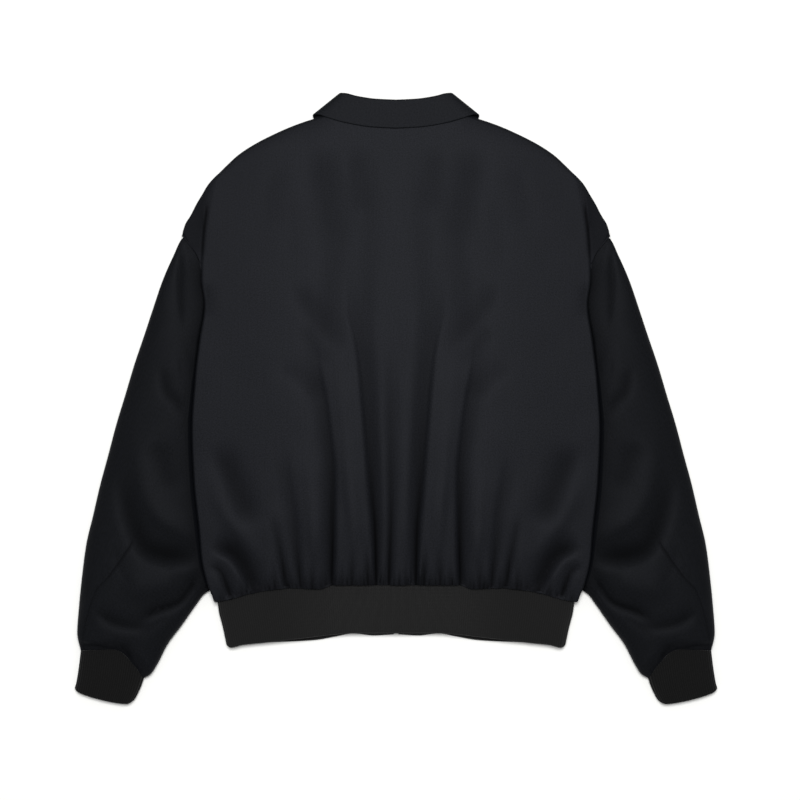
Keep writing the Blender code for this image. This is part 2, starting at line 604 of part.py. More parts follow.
def sleeve_panel(name, side, starts, spans, material):
    """One sleeve piece: columns run from one seam to the other at each ring."""
    rings = np.array(SLEEVE_RINGS)
    share = mix(0.0012, 0.9992, rings)
    columns = []
    for k, count in enumerate(spans):
        a, b = starts[k], starts[k + 1]
        for step in range(count):
            columns.append(mix(a, b, step / count))
    columns.append(starts[-1])
    theta = np.array(columns).T
    share = np.broadcast_to(share[:, None], theta.shape).copy()
    step = 1e-3
    seam_turn = {}
    for col, sign in ((0, 1), (-1, -1)):
        here = sleeve_points(theta[:, col], share[:, col])
        there = sleeve_points(theta[:, col] + sign * step, share[:, col])
        speed = np.linalg.norm(there - here, axis=-1) / step
        seam_turn[col] = sign * SEAM_GAP / np.maximum(speed, 4)
    for col, turn in seam_turn.items():
        theta[:, col] += turn
    outer = sleeve_points(theta, share)
    normal_a = sleeve_points(theta + step, share) - sleeve_points(theta - step, share)
    normal_b = (sleeve_points(theta, np.clip(share + step, 0, 1))
                - sleeve_points(theta, np.clip(share - step, 0, 1)))
    normal = np.cross(normal_a, normal_b)
    normal /= np.maximum(np.linalg.norm(normal, axis=-1, keepdims=True), 1e-9)
    inner = outer - normal * CLOTH
    inner[..., 2] = np.maximum(inner[..., 2], FLOOR_CLEAR)
    add_wall(name, mirrored(outer, side), mirrored(inner, side), material)


def side_angle(rings):
    """Angle at which a sleeve section passes out from under the side of the body."""
    outer_x, outer_y = path(SLEEVE_OUTER, rings)
    inner_x, inner_y = path(SLEEVE_INNER, smooth(INNER_PACE, rings))
    across = np.full_like(rings, 0.5)
    for _ in range(4):
        fold_x = side_x(mix(outer_y, inner_y, across)) + 1.2
        across = np.clip((outer_x - fold_x) / (outer_x - inner_x), 0.05, 0.97)
    return section_angle(across)


def build_sleeve(word, side, material):
    rings = np.array(SLEEVE_RINGS)
    back_seam = section_angle(smooth(BACK_ARM_SEAM, rings))
    front_seam = 2 * math.pi - section_angle(smooth(FRONT_ARM_SEAM, rings))
    ones = np.ones_like(rings)
    apart = 0.12
    outer_fold, inner_fold = 0.32 * ones, (math.pi - 0.3) * ones
    body_side = side_angle(rings)
    side_on_top = np.clip(body_side, outer_fold + apart, back_seam - apart)
    side_on_under = np.clip(body_side, back_seam + apart, inner_fold - apart)
    even = mix(back_seam, inner_fold, 4 / 6)
    side_on_under = mix(side_on_under, even, ease((rings - 0.88) / 0.08))
    sleeve_panel(f"sleeve_top_{word}", side,
                 [front_seam - 2 * math.pi, -outer_fold, outer_fold, side_on_top, back_seam],
                 (3, 3, 5, 2), material)
    sleeve_panel(f"sleeve_under_{word}", side,
                 [back_seam, side_on_under, inner_fold, 2 * math.pi - inner_fold, front_seam],
                 (4, 2, 3, 3), material)


# ---------------------------------------------------------------- rib pieces
def flat_tube_z(theta, height, half, round_share):
    """Height round a flattened tube that rests on the floor."""
    lean = np.minimum(np.abs(np.sin(theta)) / round_share, 1)
    rise = 1 - (1 - lean) ** 2
    return np.where(np.sin(theta) >= 0, half + (height - half) * rise, half * (1 - rise))


def cuff_points(theta, share):
    across = (1 - np.cos(theta)) / 2
    outer_x, outer_y = path(CUFF_OUTER, share)
    inner_x, inner_y = path(CUFF_INNER, share)
    x, y = mix(outer_x, inner_x, across), mix(outer_y, inner_y, across)
    bend = smooth(CUFF_BEND, across) * (1 - ease(share / 0.75))
    y = y + bend * np.where(np.sin(theta) >= 0, 1.0, 0.35)
    hem = ease((share - 0.8) / 0.2)
    y = y - 3.0 * hem * (1 - (2 * across - 1) ** 2)
    z = flat_tube_z(theta, CUFF_TOP, CUFF_HALF_Z, 0.62)
    return np.stack([x, y, z + 0 * x], axis=-1)


def build_cuff(word, side, material):
    theta = np.linspace(0, 2 * math.pi, 23)[:-1]
    rings = np.array([0.0, 0.12, 0.4, 0.7, 1.0])
    gap_share = 3.6 * SEAM_GAP / 52.0
    share = mix(gap_share, 1.0, rings)
    theta, share = np.meshgrid(theta, share)
    outer = cuff_points(theta, share)
    normal = grid_normals(outer, True)
    if normal[2, 5, 2] < 0:
        normal = -normal
    normal[..., 1] *= 0.2
    normal /= np.linalg.norm(normal, axis=-1, keepdims=True)
    inner = outer - normal * RIB
    add_wall(f"cuff_{word}", mirrored(outer, side), mirrored(inner, side), material, True)


def hem_band_points(theta, share):
    """Outer surface of the hem band; theta 0 at -X, over the back to pi, under the front."""
    cos = np.cos(theta)
    bottom_half = smooth(((0, RIB_HALF), (0.3, 221.5), (0.6, 217), (1, 212)), share)
    x = -cos * bottom_half
    on_top = np.sin(theta) >= 0
    seam = hem_y(x) + HEM_PUFF[0][0] - 0.5 * SEAM_GAP
    edge = np.where(on_top, smooth(RIB_BACK_EDGE, np.abs(x)), smooth(RIB_FRONT_EDGE, np.abs(x)))
    y = mix(seam, edge, share)
    z = flat_tube_z(theta, RIB_TOP, 0.5 * RIB_TOP, 0.36)
    return np.stack([x, y, z + 0 * x], axis=-1)


def build_hem_band(material):
    gap = CHAIN_HALF + 0.4
    end = math.asin(gap / RIB_HALF)
    quarter = math.pi / 2
    side = np.array([0, 0.07, 0.15, 0.24, 0.36])
    free = np.linspace(0.36, quarter, 8)[1:]
    bottom = np.linspace(0.36, quarter - end, 7)[1:]
    left_under = -bottom[::-1]
    left = np.concatenate([-side[::-1][:-1], side])
    theta = np.concatenate([left_under, left, free, math.pi - free[::-1][1:],
                            math.pi - side[::-1], math.pi + side[1:], math.pi + bottom])
    share = np.array([0.0, 0.1, 0.45, 0.8, 1.0])
    theta, share = np.meshgrid(theta, share)
    outer = hem_band_points(theta, share)
    normal = grid_normals(outer, False)
    if normal[2, theta.shape[1] // 2, 2] < 0:
        normal = -normal
    normal[..., 1] *= 0.15
    normal /= np.linalg.norm(normal, axis=-1, keepdims=True)
    add_wall("hem_rib", outer, outer - normal * RIB, material)


# ---------------------------------------------------------------- collar
def collar_points(along, across):
    """Mid cloth of the collar: across 0 at the neck seam, 0.5 at the fold, 1 at the outer edge."""
    side = np.where(along < 0, -1.0, 1.0)
    share = np.abs(along)
    value = [smooth(COLLAR_STATIONS, share, k) for k in range(1, 10)]
    seam, fold, edge = (np.stack(value[k:k + 3], axis=-1) for k in (0, 3, 6))
    t = across * 2
    stand = mix(seam, fold, np.clip(t, 0, 1)[..., None])
    fall = mix(fold, edge, np.clip(t - 1, 0, 1)[..., None])
    points = np.where((t < 1)[..., None], stand, fall)
    turn = ease((share - 0.44) / 0.12)
    outward = np.stack([0 * turn, 0 * turn, 1 - 2 * turn], axis=-1)
    sideways = np.sin(turn * math.pi)[..., None] * np.array([1.0, 0.35, 0.0])
    outward = outward + sideways
    outward /= np.linalg.norm(outward, axis=-1, keepdims=True)
    bend = np.clip(1 - np.abs(t - 1) / 0.05, 0, 1)
    spread = np.where(t < 1, -COLLAR_APART, COLLAR_APART) * np.sqrt(1 - bend ** 2)
    points = points + outward * spread[..., None]
    points[..., 0] *= side
    return points


def build_collar(material):
    half = np.array([0, 0.09, 0.18, 0.27, 0.35, 0.41, 0.45, 0.475, 0.5, 0.525, 0.55, 0.59,
                     0.64, 0.72, 0.81, 0.9, 1.0])
    along = np.concatenate([-half[::-1][:-1], half])
    along, across = np.meshgrid(along, COLLAR_ACROSS)
    middle = collar_points(along, across)
    normal = grid_normals(middle, False)
    half_wall = 0.5 * COLLAR_CLOTH
    add_wall("collar", middle + normal * half_wall, middle - normal * half_wall, material)


# ---------------------------------------------------------------- zip
def build_zip(tape_material, metal_material):
    ys = np.concatenate([[ZIP_BOTTOM_Y, 0, 156], np.linspace(162, 204, 8), [ZIP_TOP_Y]])
    lifts = front_lift(np.zeros_like(ys), ys)
    stations = list(zip(ys, lifts))
    tape_low = RIB + 0.3
    tape_top = tape_low + TAPE
    for word, side in (("left", -1), ("right", 1)):
        profile = [(TEETH_APART, CHAIN_LOW), (CHAIN_HALF, CHAIN_LOW), (CHAIN_HALF, tape_low),
                   (TAPE_WIDTH, tape_low), (TAPE_WIDTH, tape_top), (TEETH_APART, tape_top)]
        add_tape(f"zip_tape_{word}", stations, [(side * px, pz) for px, pz in profile],
                 tape_material)
    build_slider(metal_material)
    build_pull(metal_material)


def add_tape(name, stations, profile, material):
    """Tape and chain: an L-shaped profile carried along the front edge."""
    count = len(profile)
    points = [(px, y, pz + lift) for y, lift in stations for px, pz in profile]
    triangles = []
    for i in range(len(stations) - 1):
        for j in range(count):
            a, b = i * count + j, i * count + (j + 1) % count
            triangles += [(a, b, b + count), (a, b + count, a + count)]
    last = (len(stations) - 1) * count
    for a, b, c in ((0, 1, 2), (0, 2, 5), (2, 3, 4), (2, 4, 5)):
        triangles += [(a, c, b), (last + a, last + b, last + c)]
    return add_body(name, points, triangles, material)


def boxes_to_body(name, boxes, material):
    """Boxes joined into one body."""
    parts = []
    for low, high in boxes:
        bpy.ops.mesh.primitive_cube_add(size=1)
        part = bpy.context.object
        size = [high[k] - low[k] for k in range(3)]
        middle = [0.5 * (high[k] + low[k]) for k in range(3)]
        for vertex in part.data.vertices:
            vertex.co = [(vertex.co[k] * size[k] + middle[k]) * MM for k in range(3)]
        parts.append(part)
    body = parts[0]
    body.name = name
    body.data.name = name
    for k, other in enumerate(parts[1:]):
        union = body.modifiers.new(f"join_{k}", "BOOLEAN")
        union.operation = "UNION"
        union.object = other
        other.hide_render = True
        other.display_type = "WIRE"
        other.name = f"{name}_joint_{k}"
    body.data.materials.append(material)
    return body


def build_slider(material):
    """Two plates round the chain, a post above its end and the bridge that holds the pull."""
    lift = ZIP_LIFT
    chain_low, chain_top = lift + CHAIN_LOW, lift + RIB + CHAIN_LOW + TAPE
    plate = 1.0
    low_plate = chain_low - 0.7 - plate
    y_low, y_high = SLIDER_Y - 5.5, ZIP_TOP_Y + 5.0
    half = 4.6
    bridge_low = 0.3
    boxes = [
        ((-half, y_low, low_plate), (half, y_high, low_plate + plate)),
        ((-half, y_low, chain_top + 0.35), (half, y_high, chain_top + 0.35 + plate)),
        ((-1.6, ZIP_TOP_Y + 0.5, low_plate + 0.2), (1.6, y_high - 0.3, chain_top + 0.35 + 0.5)),
        ((-0.9, SLIDER_Y - 2.9, bridge_low), (0.9, SLIDER_Y + 2.9, bridge_low + 0.8)),
        ((-0.9, SLIDER_Y - 2.9, bridge_low + 0.2), (0.9, SLIDER_Y - 2.0, low_plate + 0.4)),
        ((-0.9, SLIDER_Y + 2.0, bridge_low + 0.2), (0.9, SLIDER_Y + 2.9, low_plate + 0.4)),
    ]
    boxes_to_body("zip_slider", boxes, material)


def build_pull(material):
    """Pull tab with a crossbar through the slider's bridge; it swings about X."""
    axis_z = 1.95
    bar = 0.45
    half = 3.4
    reach = 4.0
    boxes = [
        ((-half, SLIDER_Y - bar, axis_z - bar), (half, SLIDER_Y + bar, axis_z + bar)),
        ((-half, SLIDER_Y - reach - 0.4, axis_z - 0.55), (-1.7, SLIDER_Y + bar, axis_z + 0.55)),
        ((1.7, SLIDER_Y - reach - 0.4, axis_z - 0.55), (half, SLIDER_Y + bar, axis_z + 0.55)),
        ((-half, SLIDER_Y - 23.0, axis_z - 0.55), (half, SLIDER_Y - reach, axis_z + 0.55)),
    ]
    boxes_to_body("zip_pull", boxes, material)


def main():
    for thing in list(bpy.context.scene.objects):
        bpy.data.objects.remove(thing, do_unlink=True)
    cloth = cloth_material("black_gabardine", (0.019, 0.020, 0.023), 0.72)
    rib = cloth_material("black_rib_knit", (0.017, 0.017, 0.017), 0.9)
    tape = cloth_material("black_zip_tape", (0.012, 0.012, 0.013), 0.8)
    metal = cloth_material("dark_zip_metal", (0.10, 0.10, 0.105), 0.35, 1.0)
    build_back(cloth)
    for word, side in (("left", -1), ("right", 1)):
        build_front(f"front_{word}", side, cloth)
        build_sleeve(word, side, cloth)
        build_cuff(word, side, rib)
    build_hem_band(rib)
    build_collar(cloth)
    build_zip(tape, metal)


main()
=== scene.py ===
# %% [markdown]
# # A short black zip jacket, closed and laid face down
#
# This notebook dresses the rigid parts of a jacket as cloth. It lies on a table with its
# back up: a fold-down collar, a body gathered into a rib band, two full sleeves and rib
# cuffs. The rigid model gives the frame, so every piece below is made in the same metres.
# Tables are in millimetres with positive X outward, because a maker measures a garment
# that way, and one function turns them to metres.

# %% Load the rigid parts
import math

import bpy
import numpy as np
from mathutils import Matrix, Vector


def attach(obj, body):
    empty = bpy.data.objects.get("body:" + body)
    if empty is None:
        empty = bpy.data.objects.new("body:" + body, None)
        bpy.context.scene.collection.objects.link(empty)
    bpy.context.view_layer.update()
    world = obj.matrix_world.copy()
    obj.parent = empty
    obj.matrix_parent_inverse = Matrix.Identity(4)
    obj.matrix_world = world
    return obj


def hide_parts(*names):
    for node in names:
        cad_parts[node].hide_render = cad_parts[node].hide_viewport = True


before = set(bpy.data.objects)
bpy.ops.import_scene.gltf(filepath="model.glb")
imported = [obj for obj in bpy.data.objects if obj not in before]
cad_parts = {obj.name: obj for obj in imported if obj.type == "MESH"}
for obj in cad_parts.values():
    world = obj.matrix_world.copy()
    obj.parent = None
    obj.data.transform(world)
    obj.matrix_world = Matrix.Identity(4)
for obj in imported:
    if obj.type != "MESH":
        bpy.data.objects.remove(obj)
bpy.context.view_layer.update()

MM = 0.001

# %% [markdown]
# ## The table, the light and the camera
#
# The garment is nearly black, so it is lit the way a studio lights black cloth: one very
# large soft light overhead, a little towards the collar, and a bright room all round. The
# table is pale and bright enough to stay white in the soft shade at the garment's edge.
# The camera looks straight down with a long lens, so that the outline isn't spread by
# perspective. It stands 2.5 m over the outline's own height, about 10 mm over the table.

# %% Camera and picture scale
scene = bpy.context.scene
scene.view_settings.view_transform = "Standard"
PICTURE = 800            # pixels on each side
MM_PER_PIXEL = 1.25
OUTLINE_HEIGHT = 10      # mm over the table, where the garment is widest
GARMENT_LEFT = 5         # mm: the garment lies this far left of the picture's centre
camera_data = bpy.data.cameras.new("camera_overhead")
camera_data.lens = 90
camera_data.sensor_width = 36
camera = bpy.data.objects.new("camera_overhead", camera_data)
scene.collection.objects.link(camera)
distance = PICTURE * MM_PER_PIXEL * camera_data.lens / camera_data.sensor_width
camera.location = (GARMENT_LEFT * MM, 0, (OUTLINE_HEIGHT + distance) * MM)
scene.camera = camera
print("camera height, m:", round(camera.location.z, 3))


# %% Colours and shader nodes
def linear(hex_colour):
    """An sRGB hex colour as the linear colour that a shader takes."""
    parts = [int(hex_colour[k:k + 2], 16) / 255 for k in (1, 3, 5)]
    return tuple(p / 12.92 if p <= 0.04045 else ((p + 0.055) / 1.055) ** 2.4 for p in parts) + (1.0,)


def add_node(tree, kind, settings=None, **inputs):
    """One shader node, its settings, and each input as a value or a link."""
    made = tree.nodes.new(kind)
    for name, value in (settings or {}).items():
        setattr(made, name, value)
    for name, value in inputs.items():
        socket = made.inputs[int(name[1:])] if name[0] == "_" else made.inputs[name.replace("_", " ")]
        if isinstance(value, bpy.types.NodeSocket):
            tree.links.new(value, socket)
        else:
            socket.default_value = value
    return made


def new_material(name):
    material = bpy.data.materials.new(name)
    material.use_nodes = True
    material.node_tree.nodes.clear()
    return material, material.node_tree


def add_mesh(name, points, faces, material):
    """An object in the scene from points in metres, with one material."""
    mesh = bpy.data.meshes.new(name)
    mesh.from_pydata(points, [], faces)
    mesh.materials.append(material)
    made = bpy.data.objects.new(name, mesh)
    scene.collection.objects.link(made)
    return made


print("mid grey is", [round(v, 3) for v in linear("#808080")])

# %% Table
table_paint, tree = new_material("matt_white_table_paint")
paint = add_node(tree, "ShaderNodeBsdfPrincipled", Base_Color=linear("#EDEDEB"), Roughness=0.9)
paint.inputs["Specular IOR Level"].default_value = 0.1
add_node(tree, "ShaderNodeOutputMaterial", Surface=paint.outputs[0])
TABLE_HALF = 6.0         # m, far enough that its edge never shows
TABLE_Z = -0.0002        # m, so that no face of the cloth lies in the table's own plane
corners = [(x * TABLE_HALF, y * TABLE_HALF, TABLE_Z) for x, y in ((-1, -1), (1, -1), (1, 1), (-1, 1))]
table_top = add_mesh("table_top", corners, [(0, 1, 2, 3)], table_paint)
print("table:", 2 * TABLE_HALF, "m square")


# %% Lights
def soft_light(name, place, aim, size, watts):
    """A square soft box at a place, turned to an aim point."""
    data = bpy.data.lights.new(name, "AREA")
    data.size = size
    data.energy = watts
    lamp = bpy.data.objects.new(name, data)
    scene.collection.objects.link(lamp)
    lamp.location = place
    lamp.rotation_mode = "QUATERNION"
    lamp.rotation_quaternion = (Vector(aim) - Vector(place)).to_track_quat("-Z", "Y")


ROOM_LIGHT = 0.4
room = bpy.data.worlds.new("bright_room")
room.use_nodes = True
room.node_tree.nodes["Background"].inputs["Color"].default_value = linear("#FFFFFF")
room.node_tree.nodes["Background"].inputs["Strength"].default_value = ROOM_LIGHT
scene.world = room
soft_light("overhead_box", (0.0, 0.8, 3.4), (0, 0, 0), 1.3, 122)

# %% [markdown]
# ## Small tools of a pattern cutter
#
# The garment's lines are short tables of measured points. A monotone cubic reads them
# without overshoot, so a neckline never bulges between two points. Folds are soft
# valleys or ridges that follow a line: each has a depth and a width at both ends.

# %% Reading tables and lines
def smooth(rows, at, value=1):
    """Read a table at given places with a monotone cubic, flat beyond its ends."""
    xs = np.array([row[0] for row in rows], float)
    ys = np.array([row[value] for row in rows], float)
    at = np.clip(np.asarray(at, float), xs[0], xs[-1])
    step = np.diff(xs)
    rise = np.diff(ys) / step
    slope = np.zeros(len(xs))
    same = rise[:-1] * rise[1:] > 0
    before, after = rise[:-1][same], rise[1:][same]
    slope[1:-1][same] = 2 * before * after / (before + after)
    slope[0], slope[-1] = rise[0], rise[-1]
    k = np.clip(np.searchsorted(xs, at) - 1, 0, len(xs) - 2)
    t = (at - xs[k]) / step[k]
    return (ys[k] * (1 + 2 * t) * (1 - t) ** 2 + slope[k] * step[k] * t * (1 - t) ** 2
            + ys[k + 1] * t * t * (3 - 2 * t) - slope[k + 1] * step[k] * t * t * (1 - t))


def ease(t):
    t = np.clip(t, 0.0, 1.0)
    return t * t * (3 - 2 * t)


def ramp(value, start, end):
    """0 up to the start and 1 from the end on, with a soft rise between them."""
    return ease((value - start) / (end - start))


def mix(a, b, t):
    return a + (b - a) * t


def soft_least(a, b, blend):
    """The smaller of two heights, rounded over a blend."""
    h = np.clip(0.5 + 0.5 * (b - a) / blend, 0, 1)
    return mix(b, a, h) - blend * h * (1 - h)


def path(points, share):
    """A point at a share of the way along a smooth plan line."""
    points = np.array(points, float)
    length = np.concatenate([[0], np.cumsum(np.hypot(*np.diff(points, axis=0).T))])
    length /= length[-1]
    x = smooth(np.column_stack([length, points[:, 0]]), share)
    y = smooth(np.column_stack([length, points[:, 1]]), share)
    return x, y


print("a curve through 0, 1, 1, 0 stays at", float(smooth(((0, 0), (1, 1), (2, 1), (3, 0)), 1.5)))


# %% How far a place is from a line
def distance_along(x, y, points):
    """Signed distance to a smooth line, and the share along it of the nearest place."""
    line_x, line_y = path(points, np.linspace(0, 1, 17))
    best = np.full(np.shape(x), 1e9)
    share = np.zeros(np.shape(x))
    for k in range(16):
        dx, dy = line_x[k + 1] - line_x[k], line_y[k + 1] - line_y[k]
        length = dx * dx + dy * dy
        t = np.clip(((x - line_x[k]) * dx + (y - line_y[k]) * dy) / length, 0, 1)
        gap = np.hypot(x - line_x[k] - t * dx, y - line_y[k] - t * dy)
        turn = np.sign((x - line_x[k]) * dy - (y - line_y[k]) * dx)
        nearer = gap < np.abs(best)
        share = np.where(nearer, (k + t) / 16, share)
        best = np.where(nearer, gap * np.where(turn == 0, 1, turn), best)
    return best, share


off_line, part_way = distance_along(3.0, 5.0, ((0, 0), (0, 10)))
print("3 mm beside the middle of a line:", float(off_line), "mm off, share", float(part_way))

# %% Folds along lines
CREASE_RADIUS = 0.5      # mm, the tightest bend of the cloth
CREASE_WIDTH = 5.0       # a fold with this half width is a crease
ROUND_WIDTH = 11.0       # and with this one it is round at the bottom
# Creases and round hollows get painted shade, darkest at their bottoms
CREASE_DEPTH = 6.0       # a crease this deep is wholly dark at its bottom
HOLLOW_DEPTH = 8.0       # a round hollow this deep is as dark as it gets
HOLLOW_DARK = 0.75       # as a share of the darkest crease
FOLD_END = 0.3           # share of a fold's length over which it dies out


def fold_heights(x, y, folds, leans=None, seam=-400.0):
    """The sum of folds, and the painted shade at each place, 0 to 1, in creases and hollows.

    leans names the folds with one steep bank: the sign tells which. A wide fold is round
    at the bottom and a narrow one is a crease, because gabardine bends to a tight radius
    where it is squeezed. A fold dies out at both ends, unless its last point lies lower
    than the seam that gathers it.
    """
    total = np.zeros(np.shape(x))
    open_share = np.ones(np.shape(x))
    for name, side, depth_a, depth_b, width_a, width_b, points in folds:
        across = x if side == "one" else np.abs(x)
        gap, share = distance_along(across, y, points)
        width = mix(width_a, width_b, share)
        narrow = 1 - ramp(width, CREASE_WIDTH, ROUND_WIDTH)
        width = width * (1 + (leans or {}).get(name, 0.15) * np.tanh(gap / 2.5))
        dying = ease(share / FOLD_END)
        if points[-1][1] > seam:
            dying = dying * ease((1 - share) / FOLD_END)
        far = np.hypot(gap, CREASE_RADIUS) - CREASE_RADIUS
        depth = mix(depth_a, depth_b, share ** 1.6) * dying
        total += depth * np.exp(-(far / width) ** mix(2.0, 1.15, narrow))
        # Painted shade: dark at the bottom of a crease, softly dark over a round hollow
        painted_shade = narrow * np.clip(-depth / CREASE_DEPTH, 0, 1)
        shade = HOLLOW_DARK * (1 - narrow) * np.clip(-depth / HOLLOW_DEPTH, 0, 1)
        open_share *= 1 - painted_shade * np.exp(-(far / (0.45 * width)) ** 1.3)
        open_share *= 1 - shade * np.exp(-(far / (0.8 * width)) ** 2)
    return total, 1 - open_share


print("folds narrower than", CREASE_WIDTH, "mm to each side are creases")


# %% Waves and normals
def soft_waves(x, y, waves):
    """Shallow uneven waves: wavelength, direction in degrees, height, phase."""
    total = np.zeros(np.shape(x))
    for length, turn, height, phase in waves:
        along = x * math.cos(math.radians(turn)) + y * math.sin(math.radians(turn))
        total += height * np.sin(2 * math.pi * along / length + phase)
    return total


def unit(vectors):
    return vectors / np.maximum(np.linalg.norm(vectors, axis=-1, keepdims=True), 1e-9)


def grid_normals(points):
    """Unit normals of a grid of points, rows first."""
    return unit(np.cross(np.gradient(points, axis=1), np.gradient(points, axis=0)))


print("a wave 8 mm long rises", round(float(soft_waves(2.0, 0.0, ((8, 0, 1, 0),))), 3), "at a quarter")


# %% Distances along a cloth
def cloth_lengths(points):
    """Distances along the cloth in both directions of a grid, in millimetres."""
    across = np.linalg.norm(np.diff(points, axis=1), axis=2)
    down = np.linalg.norm(np.diff(points, axis=0), axis=2)
    u = np.concatenate([np.zeros((points.shape[0], 1)), np.cumsum(across, axis=1)], axis=1)
    v = np.concatenate([np.zeros((1, points.shape[1])), np.cumsum(down, axis=0)], axis=0)
    u -= u[:, points.shape[1] // 2][:, None]
    return u, v


flat_grid = np.stack([*np.meshgrid(np.arange(4.0), np.arange(3.0)), np.zeros((3, 4))], axis=-1)
print("a flat grid of 3 x 2 mm measures", [float(np.ptp(part)) for part in cloth_lengths(flat_grid)])


# %% Cloth as a thin closed shell
def add_cloth(name, outer, normal, thickness, material, coarse=2, side=1, painted_shade=None):
    """A shell whose outer face is the fine grid and whose inner face is a coarser one.

    The two faces meet in a narrow cut edge all round. A UV map holds distances along the
    cloth in metres, so that weave and rib follow the grain. The last argument, the painted
    shade at each point, is kept as a point attribute of the same name: it darkens creases,
    hollows and places under other parts, as shade.
    """
    rows, cols = outer.shape[:2]
    assert (rows - 1) % coarse == 0 and (cols - 1) % coarse == 0, (name, rows, cols)
    thickness = np.broadcast_to(np.asarray(thickness, float), outer.shape[:2])[..., None]
    inner = (outer - normal * thickness)[::coarse, ::coarse]
    r2, c2 = inner.shape[:2]
    fine = np.arange(rows * cols).reshape(rows, cols)
    back = rows * cols + np.arange(r2 * c2).reshape(r2, c2)
    faces = np.stack([fine[:-1, :-1], fine[1:, :-1], fine[1:, 1:], fine[:-1, 1:]], -1).reshape(-1, 4)
    under = np.stack([back[:-1, :-1], back[:-1, 1:], back[1:, 1:], back[1:, :-1]], -1).reshape(-1, 4)
    rim = []
    for i in range(r2 - 1):
        a, b = i * coarse, (i + 1) * coarse
        rim.append([*fine[a:b + 1, 0][::-1], back[i, 0], back[i + 1, 0]])
        rim.append([*fine[a:b + 1, -1], back[i + 1, -1], back[i, -1]])
    for j in range(c2 - 1):
        a, b = j * coarse, (j + 1) * coarse
        rim.append([*fine[0, a:b + 1], back[0, j + 1], back[0, j]])
        rim.append([*fine[-1, a:b + 1][::-1], back[-1, j], back[-1, j + 1]])
    points = np.vstack([outer.reshape(-1, 3), inner.reshape(-1, 3)]) * MM
    u, v = cloth_lengths(outer)
    lengths = np.stack([u, v], -1) * MM
    uv = np.vstack([lengths.reshape(-1, 2), lengths[::coarse, ::coarse].reshape(-1, 2)])
    points[:, 0] *= side
    faces = faces.tolist() + under.tolist() + [[int(n) for n in f] for f in rim]
    tried = np.array([f[:3] for f in faces[:rows * cols // 2]])
    p = points[tried]
    facing = np.cross(p[:, 1] - p[:, 0], p[:, 2] - p[:, 0])
    wanted = normal.reshape(-1, 3)[tried[:, 0]] * [side, 1, 1]
    if (facing * wanted).sum() < 0:
        faces = [f[::-1] for f in faces]
    piece = add_mesh(name, points.tolist(), faces, material)
    mesh = piece.data
    layer = mesh.uv_layers.new(name="grain")
    loops = np.zeros(len(mesh.loops), int)
    mesh.loops.foreach_get("vertex_index", loops)
    layer.data.foreach_set("uv", uv[loops].ravel())
    if painted_shade is not None:
        kept = np.concatenate([painted_shade.ravel(), painted_shade[::coarse, ::coarse].ravel()])
        mesh.attributes.new("painted_shade", "FLOAT", "POINT").data.foreach_set("value", kept)
    mesh.shade_smooth()
    mesh.set_sharp_from_angle(angle=math.radians(70))
    mesh.calc_loop_triangles()
    cross = np.cross(np.diff(outer, axis=1)[:-1], np.diff(outer, axis=0)[:, :-1])
    area = np.linalg.norm(cross, axis=2).sum() * MM * MM
    print(f"{name}: {len(mesh.loop_triangles)} triangles, {u.max() - u.min():.0f} x {v.max():.0f} mm,",
          f"{area:.4f} m2")
    return piece


print("meshes in the scene before any cloth:", len(bpy.data.meshes))

# %% [markdown]
# ## The finishes
#
# The body is gabardine, a fine steep twill of worsted or polyester yarn, dyed black with
# a cold cast. Its yarns lie flat and tight, so light that comes from straight above comes
# softly back and a slope turns dark: most of what the eye reads is this soft gloss, not
# the dye. The sleeves and the collar take darker copies of the same cloth with less gloss,
# which is painted shade. The band and the cuffs are a rib knit of matt, hairy yarn, with
# no gloss and no blue, and the cuffs take a darker copy of it, also painted shade. Both
# get their detail from the cloth's own distances, kept in the UV map.

# %% What every cloth shares
def cloth_place(tree):
    """The place on the cloth in millimetres, along and across its grain."""
    grain = add_node(tree, "ShaderNodeUVMap", {"uv_map": "grain"}).outputs[0]
    return add_node(tree, "ShaderNodeMapping", Vector=grain, Scale=(1000, 1000, 1000)).outputs[0]


def apply_painted_shade(tree, colour, roughness):
    """Painted shade: the colour turns dark and the roughness dull where the point attribute
    is high, in creases, hollows and under other parts, where little light gets in.
    """
    painted_shade = add_node(tree, "ShaderNodeAttribute", {"attribute_name": "painted_shade"}).outputs["Fac"]
    dark = add_node(tree, "ShaderNodeMix", {"data_type": "RGBA"}, _0=painted_shade, _6=colour,
                    _7=linear("#020202")).outputs[2]
    dull = add_node(tree, "ShaderNodeMix", {"data_type": "FLOAT"}, Factor=painted_shade, A=roughness,
                    B=1.0).outputs[0]
    return dark, dull


print("the darkest crease is", round(linear("#020202")[0], 5))

# %% Gabardine
TWILL_PITCH_MM = 1.9     # the real twill lines are 0.5 mm apart; drawn coarser so that they show


